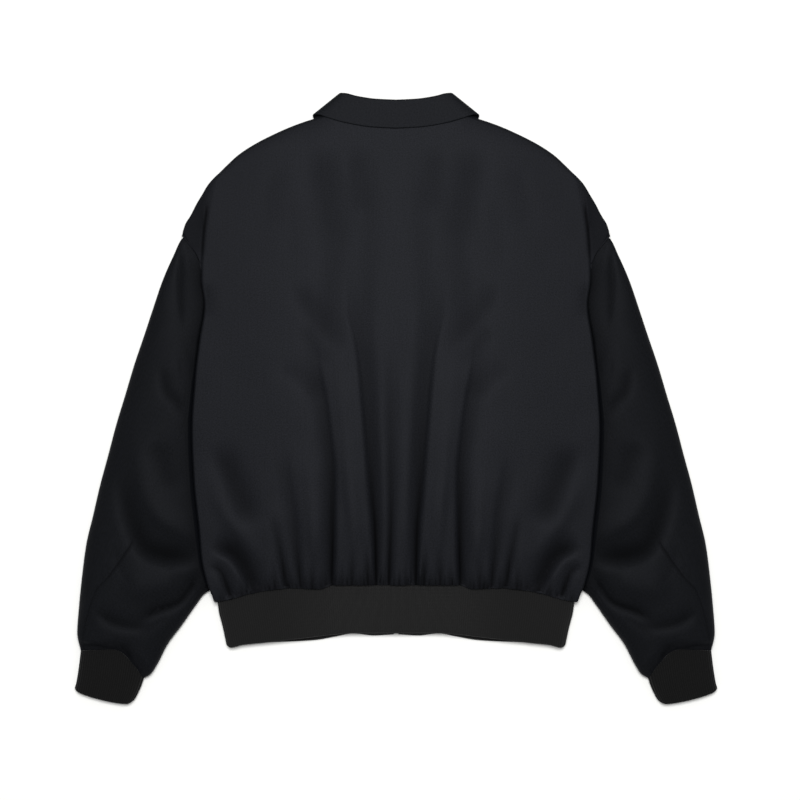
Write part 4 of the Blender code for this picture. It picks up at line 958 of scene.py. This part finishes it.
# Sleeve section along its length: share, height, mid height of outer and of inner fold
SLEEVE_SECTIONS = (
    (0.00, 12.4, 6.4, 3.2), (0.05, 16, 6.4, 3.0), (0.15, 22, 6.4, 3.0), (0.30, 26, 6.6, 3.0),
    (0.45, 29, 7.0, 3.0), (0.60, 31, 7.2, 3.4), (0.75, 30, 7.2, 5.0), (0.88, 28, 7.0, 6.2),
    (0.955, 26, 6.6, 6.2), (0.985, 20, 6.2, 6.0), (1.00, 12.8, 6.0, 6.0))
# Where the two sleeve seams cross a section, as a share from outer to inner fold
BACK_ARM_SEAM = (
    (0.0, 0.80), (0.32, 0.633), (0.52, 0.41), (0.60, 0.355), (0.68, 0.345), (0.735, 0.32),
    (0.79, 0.258), (0.845, 0.16), (0.893, 0.13), (1.0, 0.07))
FRONT_ARM_SEAM = ((0.0, 0.80), (0.5, 0.60), (1.0, 0.40))
# How the cuff seam bends off its straight line: share across, rise
CUFF_BEND = ((0, 0), (0.28, 10.5), (0.62, 21), (0.84, 12), (1, 0))
SLEEVE_FOLDS = (
    ("shoulder crease", "pair", -3.4, -1.4, 3.6, 6, ((270, 196), (270, 150), (266, 106), (260, 80))),
    ("elbow crease", "pair", -2.0, -3.5, 8, 8, ((292, 46), (286, 12), (270, -6), (264, -26))),
    ("elbow hollow", "pair", -2.2, -2.2, 15, 15, ((300, -50), (288, -85), (272, -118))),
    ("main ridge", "pair", 1.5, 5.0, 16, 12,
     ((322, -20), (318, -92), (296, -142), (254, -166), (225, -170))),
    ("main trough", "pair", -3.5, -10.5, 13, 12,
     ((346, -80), (333, -138), (305, -188), (258, -196), (225, -198))),
    ("lower puff", "pair", 2.5, 4.5, 20, 16, ((345, -232), (300, -232), (262, -222))),
    ("underarm trough", "pair", -6.5, -5.0, 5.5, 7,
     ((240, -204), (251, -226), (271, -252), (301, -263), (327, -281))),
    ("small trough", "pair", -3.8, -1.6, 8, 8, ((376, -260), (352, -276), (322, -282), (300, -276))),
    ("cuff crease", "pair", -2.0, -4.0, 6, 5, ((345, -300), (328, -326))),
)
# Smaller creases that only the cloth has
SLEEVE_CREASES = (
    ("head pucker", "pair", -0.7, -0.4, 2.2, 3.0, ((262, 186), (257, 168), (253, 150))),
    ("head slant", "pair", -0.9, -0.4, 2.6, 3.0, ((266, 197), (258, 184), (248, 176))),
    ("side crease", "pair", -1.0, -0.6, 4, 5, ((272, 60), (266, 30), (262, -4))),
    ("fore crease", "pair", -0.7, -0.4, 4, 5, ((352, -180), (340, -214), (322, -236))),
    ("slump line", "pair", -1.0, -0.5, 3, 4, ((280, -268), (306, -284), (322, -300))),
    ("cuff roll", "pair", 2.2, 1.6, 2.4, 2.6, ((398, -300), (374, -300.5), (354, -304))),
    ("cuff line", "pair", -3.2, -2.6, 2.6, 2.8, ((399, -306), (374, -306.5), (352, -310))),
    ("cuff tuck a", "pair", -1.2, -0.3, 2.2, 3.0, ((352, -319), (349, -304), (344, -290))),
    ("cuff tuck b", "pair", -1.2, -0.3, 2.0, 3.0, ((334, -326), (333, -311), (330, -298))),
    ("cuff tuck c", "pair", -1.0, -0.3, 2.0, 3.0, ((372, -312), (371, -300), (368, -288))),
)
SLEEVE_WAVES = ((53, 62, 0.16, 1.1), (37, 38, 0.09, 3.4), (91, 74, 0.22, 5.0), (26, 55, 0.05, 0.3))
print(len(SLEEVE_FOLDS) + len(SLEEVE_CREASES), "folds on each sleeve")


# %% Surface of a sleeve
SIDE_RISE = 9.0          # the sleeve rises this steeply where it comes out beside the body
ARMHOLE_END = 0.14       # up to this share of its length the sleeve follows the armhole
CUFF_START = 0.86        # and from this share it bends towards the cuff
UNDER_BEND = 0.35        # the under side takes this share of the cuff seam's bend
# Painted shade on the sleeve, under the body's side and close beside it
COVERED_DARK = 0.8       # how dark the sleeve is under the body's side
BESIDE_DARK = 0.5        # and close beside it, where the body hides much of the room
SEAM_DEPTH = 0.45        # mm, the pressed seam below the elbow
SEAM_HALF = 0.05         # mm, half of the line between the two pieces


def sleeve_cap(x, y):
    """Highest the sleeve may stand where the body's side lies over it."""
    under = np.where(y < UNDERARM_Y, front_lift(np.minimum(x, side_x(y) - SIDE_TURN), y),
                     smooth(ARMHOLE_Z, y))
    gap = (CLOTH + SEAM_GAP) * (1 - ramp(y, 168, 182))
    beside = SIDE_RISE * np.maximum(0, x - side_x(y) - 0.8)
    free = 60 * ramp(y, 182, 192)   # above the notch nothing lies over the sleeve
    return under - gap + beside + free


def sleeve_points(theta, share, seams=()):
    """Outer surface of the sleeve: theta 0 outer fold, over the top to pi, the inner fold.

    Also the painted shade at each point: in creases and along the seams, under the body's
    side and close beside it. seams are pressed in as shallow grooves.
    """
    theta, share = np.broadcast_arrays(np.asarray(theta, float), np.asarray(share, float))
    across = (1 - np.cos(theta)) / 2
    on_top = np.sin(theta) >= 0
    lean = np.abs(np.sin(theta))
    outer_x, outer_y = path(SLEEVE_OUTER, share)
    inner_x, inner_y = path(SLEEVE_INNER, smooth(INNER_PACE, share))
    x, y = mix(outer_x, inner_x, across), mix(outer_y, inner_y, across)
    # At its mouth the sleeve follows the armhole's edge, a little inside it
    armhole = 1 - ease(share / ARMHOLE_END)
    mouth_y = mix(SLEEVE_OUTER[0][1], SLEEVE_INNER[0][1], across)
    edge = np.where(on_top, smooth(BACK_ARMHOLE, mouth_y), smooth(FRONT_ARMHOLE, mouth_y))
    x = x + (edge - 0.8 - mix(SLEEVE_OUTER[0][0], SLEEVE_INNER[0][0], across)) * armhole
    cuff = ramp(share, CUFF_START, 1)
    y = y + smooth(CUFF_BEND, across) * cuff * np.where(on_top, 1.0, UNDER_BEND)
    height = smooth(SLEEVE_SECTIONS, share, 1)
    fold_z = mix(smooth(SLEEVE_SECTIONS, share, 2), smooth(SLEEVE_SECTIONS, share, 3), ease(across))
    # The section is boxy where it is sewn on at both ends and a softer dome between them
    dome = lean ** mix(0.45, 0.8, ease(share / 0.12) * ease((1 - share) / 0.08))
    folds, painted_shade = fold_heights(x, y, SLEEVE_FOLDS + SLEEVE_CREASES)
    folds = folds + soft_waves(x, y, SLEEVE_WAVES) * ease(share / 0.1)
    top = fold_z + (height - fold_z) * dome + folds * np.minimum(lean * 1.6, 1)
    for seam in seams:
        gap = (across - smooth(seam, share)) * np.hypot(outer_x - inner_x, outer_y - inner_y)
        groove = SEAM_DEPTH * ramp(share, 0.62, 0.72)
        top = top - groove * np.exp(-(gap / 1.4) ** 2) * lean
        # painted shade along the seam's groove
        painted_shade = np.maximum(painted_shade, groove * np.exp(-(gap / 1.1) ** 2))
    top = np.maximum(top, fold_z + 0.5 * lean)
    low_cap = sleeve_cap(x, y)
    # Painted shade where the body's side lies over the sleeve, and close beside it
    covered = COVERED_DARK * ease((top - low_cap) / 4.0)
    beside = BESIDE_DARK * np.exp(-np.maximum(0, x - side_x(y)) / 11) * ease((200 - y) / 40)
    top = soft_least(top, low_cap, 1.2)
    top = np.maximum(top, fold_z * (1 - lean) + np.minimum(low_cap, fold_z) * lean)
    # The under side comes down from both folds and lies on the table
    bottom = fold_z * np.maximum(0, 1 - lean / 0.34) ** 2
    points = np.stack([x, y, np.where(on_top, top, bottom)], axis=-1)
    return points, np.maximum.reduce([painted_shade * lean, covered, beside]) * on_top


def section_angle(share_across):
    return np.arccos(1 - 2 * share_across)


print("sleeve length along its outer fold, mm:",
      round(float(np.hypot(*np.diff(np.array(SLEEVE_OUTER), axis=0).T).sum())))

# %% Make the sleeves
def sleeve_cloth(starts, spans, rings):
    """Points, normals and painted shade of one sleeve piece between its two seams."""
    share = 0.9998 * rings[:, None]
    theta = np.concatenate([mix(a[:, None], b[:, None], np.linspace(0, 1, count + 1)[:-1])
                            for a, b, count in zip(starts[:-1], starts[1:], spans)]
                           + [starts[-1][:, None]], axis=1)
    share = np.broadcast_to(share, theta.shape)
    step = 1e-3
    for col, turn in ((0, 1), (-1, -1)):
        here = sleeve_points(theta[:, col], share[:, col])[0]
        there = sleeve_points(theta[:, col] + turn * step, share[:, col])[0]
        speed = np.linalg.norm(there - here, axis=-1) / step
        theta[:, col] += turn * SEAM_HALF / np.maximum(speed, 4)
    points, painted_shade = sleeve_points(theta, share, (BACK_ARM_SEAM,))
    round_it = sleeve_points(theta + step, share)[0] - sleeve_points(theta - step, share)[0]
    down_it = (sleeve_points(theta, np.clip(share + step, 0, 1))[0]
               - sleeve_points(theta, np.clip(share - step, 0, 1))[0])
    return points, unit(np.cross(round_it, down_it)), painted_shade


def side_angle(rings, out):
    """Angle at which a section is a distance outside the side of the body."""
    outer_x, outer_y = path(SLEEVE_OUTER, rings)
    inner_x, inner_y = path(SLEEVE_INNER, smooth(INNER_PACE, rings))
    across = np.full_like(rings, 0.5)
    for _ in range(5):
        fold_x = side_x(mix(outer_y, inner_y, across)) + out
        across = np.clip((outer_x - fold_x) / (outer_x - inner_x), 0.05, 0.97)
    return section_angle(across)


rings = spread((0.05, 14), (0.14, 18), (0.86, 118), (1.0, 40))
back_seam = section_angle(smooth(BACK_ARM_SEAM, rings))
front_seam = 2 * math.pi - section_angle(smooth(FRONT_ARM_SEAM, rings))
ones = np.ones_like(rings)
# The tight bends of both folds end at these angles
fold_out, fold_in = 0.32 * ones, (math.pi - 0.3) * ones
top_near, top_side = (np.clip(side_angle(rings, out), fold_out + 0.1, back_seam - close)
                      for out, close in ((5, 0.12), (0.6, 0.06)))
under_near, under_side = (np.clip(side_angle(rings, out), back_seam + close, fold_in - 0.1)
                          for out, close in ((5, 0.06), (0.6, 0.12)))
# Each piece: angles from seam to seam, and the number of mesh columns between them
pieces = {
    "top": ([front_seam - 2 * math.pi, -fold_out, fold_out, top_near, top_side, back_seam],
            (12, 18, 46, 20, 8)),
    "under": ([back_seam, under_near, under_side, fold_in, 2 * math.pi - fold_in, front_seam],
              (30, 22, 20, 18, 14))}
for part_word, (starts, spans) in pieces.items():
    outer, normal, painted_shade = sleeve_cloth(starts, spans, rings)
    # Where the cloth is squeezed flat, a thinner wall keeps its inner face over the table
    inner_z = outer[..., 2] - normal[..., 2] * CLOTH
    thickness = np.where(inner_z < 0.2, 0.3, CLOTH)
    for word, side in SIDES:
        sleeve = add_cloth(f"sleeve_{part_word}_cloth_{word}", outer, normal, thickness,
                           shaded_sleeve_gabardine, side=side, painted_shade=painted_shade)
        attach(sleeve, "root")
        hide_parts(f"sleeve_{part_word}_{word}")

# %% [markdown]
# ## Rib band and cuffs
#
# A rib knit is columns of stitches that stand up between columns that fall back. It is
# knitted as a tube or strip, folded in two along its lower edge and sewn on, so both
# lower edges are soft folds. The ribs are real waves of the surface here, not a painted
# pattern: at this distance they are what the eye takes for knit. The band is stretched
# where it was sewn to the body and draws in below.

# %% Rib lines in millimetres
# Lower edges of the hem band: (half width, y)
RIB_BACK_EDGE = (
    (0, -291.5), (54, -291.5), (80, -293.5), (101, -296), (130, -299.5), (167, -303.5),
    (191, -306), (207, -309.5), (213, -307))
RIB_FRONT_EDGE = (
    (0, -293.5), (28, -295), (54, -292.5), (74, -296), (101, -300.6), (130, -302.5),
    (167, -304), (191, -306), (207, -309.5), (213, -307))
# Cuff edges in plan from the sleeve seam to the wrist
CUFF_OUTER = ((394.5, -313), (396.5, -330), (399.5, -350), (402.5, -364))
CUFF_INNER = ((315.5, -348), (318.5, -357), (324, -369), (331, -381))
CUFF_HALF_Z = 6.0        # height of the cuff's side folds
RIB_PITCH = 2.8          # from rib to rib
RIB_DEPTH = 0.7          # from crest to furrow
LIP = 0.9                # rounding of a folded lower edge
RIB_WALL = RIB - 0.6     # thickness under the ribs
BAND_HALF = ((0, RIB_HALF), (0.3, 221.5), (0.6, 217), (1, 212))  # share down, half width
BAND_WAVES = ((61, 12, 0.22, 0.7), (34, -20, 0.12, 2.6), (108, 5, 0.30, 4.1))
print("ribs across the band:", round(2 * RIB_HALF / RIB_PITCH))


# %% Flattened tubes of knit
def flat_tube_z(theta, height, half, round_share):
    """Height round a flattened tube that rests on the table."""
    lean = np.minimum(np.abs(np.sin(theta)) / round_share, 1)
    rise = 1 - (1 - lean) ** 2
    return np.where(np.sin(theta) >= 0, half + (height - half) * rise, half * (1 - rise))


def cuff_points(theta, share):
    """Outer surface of a cuff; theta 0 at its outer fold, over the top to pi, inside."""
    across = (1 - np.cos(theta)) / 2
    outer_x, outer_y = path(CUFF_OUTER, share)
    inner_x, inner_y = path(CUFF_INNER, share)
    x, y = mix(outer_x, inner_x, across), mix(outer_y, inner_y, across)
    bend = smooth(CUFF_BEND, across) * (1 - ease(share / 0.75))
    y = y + bend * np.where(np.sin(theta) >= 0, 1.0, UNDER_BEND)
    hem = ramp(share, 0.8, 1)
    y = y - 3.0 * hem * (1 - (2 * across - 1) ** 2) + 2.5 * hem * np.abs(2 * across - 1) ** 10
    z = flat_tube_z(theta, CUFF_TOP, CUFF_HALF_Z, 0.62)
    return np.stack([x, y, z + 0 * x], axis=-1)


def hem_band_points(theta, share):
    """Outer surface of the hem band; theta 0 at -X, over the back to pi, under the front."""
    x = -np.cos(theta) * smooth(BAND_HALF, share)
    on_top = np.sin(theta) >= 0
    seam = hem_y(x) + HEM_PUFF[0][0] - 0.5 * SEAM_GAP
    edge = np.where(on_top, smooth(RIB_BACK_EDGE, np.abs(x)), smooth(RIB_FRONT_EDGE, np.abs(x)))
    y = mix(seam, edge, share)
    z = flat_tube_z(theta, RIB_TOP, 0.5 * RIB_TOP, 0.36)
    return np.stack([x, y, z + 0 * x], axis=-1)


print("smooth band's half width at its seam, mm:", float(hem_band_points(math.pi, 0.0)[0]))


# %% Ribs
def rib_height(length):
    """Rounded ribs with narrow furrows, at distances along the tube."""
    wave = np.cos(2 * math.pi * length / RIB_PITCH)
    return RIB_DEPTH * (0.5 + 0.5 * wave - 0.25 * (1 - wave ** 2)) - RIB_DEPTH


def ribbed(tube, turn, share, flatten, end_normal=None, waves=0.0):
    """A knit tube with ribs raised at each turn and a rounded lower edge, and its normals.

    flatten takes the slope along the ribs out of the normals, so the edges keep their line.
    """
    normal = grid_normals(tube)
    middle = len(tube) // 2
    if normal[middle, np.argmax(tube[middle, :, 2]), 2] < 0:
        normal = -normal
    if end_normal:
        normal[:, 0] = normal[:, -1] = end_normal
    normal[..., 1] *= flatten
    normal = unit(normal)
    over_lip = ((share - 0.93) / 0.07).clip(0, 1)
    lip = LIP * (1 - np.sqrt(np.clip(1 - over_lip ** 2, 0, 1)))
    outer = tube + normal * (rib_height(turn)[None, :] - lip + waves)[..., None]
    outer[..., 2] = np.maximum(outer[..., 2], 0.0)
    return outer, normal


print("rib height at a crest and a furrow, mm:", rib_height(0.0), rib_height(RIB_PITCH / 2))

# %% Make the cuffs
share = mix(0.004, 1.0, spread((0.06, 6), (0.9, 26), (1.0, 10)))
theta, share = np.meshgrid(np.linspace(0, 2 * math.pi, 481), share)
smooth_cuff = cuff_points(theta, share)
length = cloth_lengths(smooth_cuff)[0]
guide_length = length[20]    # the ribs are counted round the middle of the cuff
ribs = round(guide_length[-1] / RIB_PITCH)
turn = guide_length / guide_length[-1] * ribs * RIB_PITCH
outer, normal = ribbed(smooth_cuff, turn, share, 0.2, end_normal=(1, 0, 0))
for word, side in SIDES:
    cuff = add_cloth(f"cuff_knit_{word}", outer, normal, RIB_WALL, cuff_rib, side=side)
    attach(cuff, "root")
    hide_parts(f"cuff_{word}")

# %% Make the hem band
# Painted shade on the hem band, darker towards its sides
BAND_SIDE_DARK = 0.42    # the band is darker towards its sides, by this share
half_turn = math.pi / 2 - math.asin(FRONT_EDGE / RIB_HALF)
fine = np.linspace(-half_turn, math.pi + half_turn, 4001)
guide = hem_band_points(fine, 0.5)
guide_length = np.concatenate([[0], np.cumsum(np.linalg.norm(np.diff(guide, axis=0), axis=1))])
even = np.linspace(0, guide_length[-1], 1921)
theta = np.interp(even, guide_length, fine)
share = spread((0.05, 3), (0.9, 12), (1.0, 5))
theta, share = np.meshgrid(theta, share)
smooth_band = hem_band_points(theta, share)
waves = soft_waves(smooth_band[..., 0], smooth_band[..., 1], BAND_WAVES) * (np.sin(theta) > 0.2)
outer, normal = ribbed(smooth_band, even, share, 0.15, waves=waves)
side_shade = BAND_SIDE_DARK * ramp(np.abs(outer[..., 0]), 55, 155)
hem_band = add_cloth("hem_band_knit", outer, normal, RIB_WALL, rib_knit, painted_shade=side_shade)
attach(hem_band, "root")
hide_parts("hem_rib")

# %% [markdown]
# ## The collar
#
# A fold-down collar has a stand, sewn to the neck, and a fall, which comes down over it.
# Both are two layers of cloth with interlining, so the edge is thick and rounded and the
# fold at the top is soft. It is one long strip here: a section that goes up the stand,
# over the fold and down the fall, carried along the neck from one front point to the other.

# %% Collar lines and section
# Collar along its length: share from the centre back, then neck seam, fold and outer edge
# as x, y, z of the mid cloth
COLLAR_STATIONS = (
    # share, seam x, y, z,   fold x, y, z,      edge x, y, z
    (0.00, 0, 347.6, 14.2, 0, 374.4, 14.2, 0, 338.8, 14.4),
    (0.16, 26, 348.6, 14.2, 25, 375.6, 14.2, 30, 340.4, 14.3),
    (0.30, 52, 352.0, 14.0, 48, 379.0, 14.0, 62, 345.6, 14.1),
    (0.40, 72, 357.0, 13.0, 62, 382.6, 13.2, 86, 352.4, 13.6),
    (0.46, 80.5, 361.6, 10.8, 67.4, 383.2, 11.4, 98, 356.4, 12.0),
    (0.50, 82.5, 362.6, 7.6, 68.4, 383.4, 7.6, 103.0, 355.4, 7.8),
    (0.54, 80.5, 360.6, 4.8, 67.0, 382.0, 4.2, 102.6, 351.6, 3.4),
    (0.60, 74, 344.0, 2.6, 60, 371.0, 2.3, 99, 334.0, 2.1),
    (0.70, 63, 310.5, 2.1, 48, 333.0, 2.1, 90, 296.0, 2.1),
    (0.82, 42, 286.0, 2.15, 30, 306.0, 2.1, 77, 252.0, 2.1),
    (0.92, 22, 277.0, 2.7, 15, 293.0, 2.15, 66, 224.0, 2.1),
    (1.00, 4, 275.0, 3.6, 4, 288.0, 2.4, 60, 213.0, 2.1))
COLLAR_APART = 1.25     # half the distance between stand and fall
COLLAR_DEPTH = 60       # mm, stand and fall together


def collar_points(along, across):
    """Mid cloth of the collar: across 0 at the neck seam, 0.5 at the fold, 1 at the outer edge."""
    share = np.abs(along)
    value = [smooth(COLLAR_STATIONS, share, k) for k in range(1, 10)]
    seam, fold, edge = (np.stack(value[k:k + 3], axis=-1) for k in (0, 3, 6))
    t = across * 2
    stand = mix(seam, fold, np.clip(t, 0, 1)[..., None])
    fall = mix(fold, edge, np.clip(t - 1, 0, 1)[..., None])
    points = np.where((t < 1)[..., None], stand, fall)
    turn = ramp(share, 0.44, 0.56)
    sideways = np.sin(turn * math.pi)
    outward = unit(np.stack([sideways, 0.35 * sideways, 1 - 2 * turn], axis=-1))
    bend = np.clip(1 - np.abs(t - 1) / 0.05, 0, 1)
    apart = np.where(t < 1, -COLLAR_APART, COLLAR_APART) * np.sqrt(1 - bend ** 2)
    points = points + outward * apart[..., None]
    points[..., 0] *= np.where(along < 0, -1.0, 1.0)
    return points


along = both_sides(spread((0.4, 50), (0.6, 60), (1.0, 50)))
across = spread((0.46, 15), (0.54, 16), (0.96, 16), (1.0, 9))
along, across = np.meshgrid(along, across)
middle = collar_points(along, across)
normal = grid_normals(middle)
to_edge = np.minimum((1 - across) * COLLAR_DEPTH / LIP, 1)
rounding = np.sqrt(np.clip(1 - (1 - to_edge) ** 2, 0.02, 1))
half_wall = 0.5 * COLLAR_CLOTH * rounding
collar_cloth = add_cloth("collar_cloth", middle + normal * half_wall[..., None], normal,
                         2 * half_wall, shaded_collar_gabardine)
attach(collar_cloth, "root")
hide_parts("collar")

# %% [markdown]
# ## The zip
#
# The zip closes the fronts, so it lies underneath, against the table. Each woven tape is
# sewn inside a front edge and carries a row of moulded teeth that mesh at the middle. The
# slider sits at the top. Its body is die-cast zinc with a dark plating, which wears to a
# paler metal on its edges.

# %% Zip finishes
tape_weave = twill_cloth("black_polyester_zip_tape", "#121213", "#1A1A1B", 0.12, 0.8)


def plated_metal(name, dark, worn):
    """Dark nickel plating over zinc: fine scratches in the gloss and pale worn edges."""
    material, tree = new_material(name)
    place = add_node(tree, "ShaderNodeTexCoord").outputs["Object"]
    scratch = add_node(tree, "ShaderNodeMapping", Vector=place, Scale=(2600, 260, 2600)).outputs[0]
    marks = add_node(tree, "ShaderNodeTexNoise", Vector=scratch, Scale=1.0, Detail=4.0).outputs[0]
    gloss = add_node(tree, "ShaderNodeMapRange", Value=marks, _3=0.24, _4=0.46).outputs[0]
    edge = add_node(tree, "ShaderNodeNewGeometry").outputs["Pointiness"]
    wear = add_node(tree, "ShaderNodeMapRange", Value=edge, _1=0.52, _2=0.62).outputs[0]
    colour = add_node(tree, "ShaderNodeMix", {"data_type": "RGBA"}, _0=wear, _6=linear(dark),
                      _7=linear(worn)).outputs[2]
    bump = add_node(tree, "ShaderNodeBump", Height=marks, Strength=0.2, Distance=0.00003).outputs[0]
    metal = add_node(tree, "ShaderNodeBsdfPrincipled", Base_Color=colour, Metallic=1.0,
                     Roughness=gloss, Normal=bump)
    add_node(tree, "ShaderNodeOutputMaterial", Surface=metal.outputs[0])
    return material


dark_nickel = plated_metal("dark_nickel_plated_zinc", "#4A4A4D", "#A9A9AC")
print(dark_nickel.name)


# %% Tapes and teeth
def zip_lift(y):
    return front_lift(np.zeros_like(y), y)


TOOTH_PITCH = 2.6
TOOTH_MIDDLE = 1.4       # middle of a tooth, from the centre of the zip
TEETH_LOW = 0.45         # the teeth start this far over the fronts' lower surface
tape_low = RIB + 0.3
ys = np.linspace(ZIP_BOTTOM_Y, ZIP_TOP_Y, 221)
xs = np.linspace(CHAIN_HALF - 1.2, TAPE_WIDTH, 21)
tape_x, tape_y = np.meshgrid(xs, ys)
herringbone = 0.06 * np.sin(2 * math.pi * tape_x / 1.6)
tape_z = tape_low + zip_lift(tape_y) + herringbone
outer = np.stack([tape_x, tape_y, tape_z], axis=-1)
down = np.zeros_like(outer)
down[..., 2] = -1
teeth_y = np.arange(ZIP_BOTTOM_Y + 3, SLIDER_Y - 6, TOOTH_PITCH)
print(len(teeth_y), "teeth on each tape")


def tooth_mesh(side, shift):
    """All the teeth of one tape: a rounded block with a nose that reaches the centre."""
    points, faces = [], []
    outline = [(x, w - 0.6) for x, w in ((0.2, 0.15), (0.2, 1.05), (0.9, 1.3), (2.5, 1.15),
                                         (2.5, 0.05), (0.9, -0.1))]
    for y in teeth_y + shift:
        base = len(points)
        lift = float(zip_lift(np.array([y]))[0]) + TEETH_LOW
        for z, inset in ((0.0, 0.22), (0.25, 0.0), (1.75, 0.0), (2.0, 0.22)):
            for x, w in outline:
                tooth_x = mix(x, TOOTH_MIDDLE, 0.5 * inset)
                points.append((side * tooth_x, y + w * (1 - inset), lift + z))
        n = len(outline)
        for layer in range(3):
            for k in range(n):
                a, b = base + layer * n + k, base + layer * n + (k + 1) % n
                faces.append((a, b, b + n, a + n))
        faces.append(tuple(base + k for k in range(n))[::-1])
        faces.append(tuple(base + 3 * n + k for k in range(n)))
    if side < 0:
        faces = [f[::-1] for f in faces]
    return points, faces


for word, side in SIDES:
    tape = add_cloth(f"zip_tape_weave_{word}", outer, down, -TAPE, tape_weave, side=side)
    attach(tape, "root")
    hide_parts(f"zip_tape_{word}")
    points, faces = tooth_mesh(side, 0.0 if side < 0 else TOOTH_PITCH / 2)
    teeth = add_mesh(f"zip_teeth_{word}", (np.array(points) * MM).tolist(), faces, dark_nickel)
    teeth.data.shade_smooth()
    teeth.data.set_sharp_from_angle(angle=math.radians(40))
    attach(teeth, "root")

# %% Slider and pull keep their shapes and take the plating
for name in ("zip_slider", "zip_pull"):
    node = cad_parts[name]
    node.data.materials.clear()
    node.data.materials.append(dark_nickel)
print("slider and pull plated")

# %% [markdown]
# ## What each cloth was cut to
#
# A pattern piece is flat before it is sewn. Each size below is the bounding rectangle of
# the cut piece, and the area is what was left after its curves were cut.

def cut(piece, width, length, share):
    print(f"{piece.name}: {width * length * share:.4f} m2 of cloth")


def shown(name):
    return bpy.data.objects[name]


cut(back_cloth, 0.62, 0.66, 0.86)
for word in ("left", "right"):
    cut(shown(f"front_cloth_{word}"), 0.27, 0.61, 0.84)
    cut(shown(f"sleeve_top_cloth_{word}"), 0.30, 0.56, 0.48)
    cut(shown(f"sleeve_under_cloth_{word}"), 0.23, 0.48, 0.60)
    cut(shown(f"cuff_knit_{word}"), 0.17, 0.057, 1.0)
    cut(shown(f"zip_tape_weave_{word}"), 0.0127, 0.549, 1.0)
cut(shown("hem_band_knit"), 0.88, 0.066, 0.92)
cut(shown("collar_cloth"), 0.53, 0.105, 0.62)
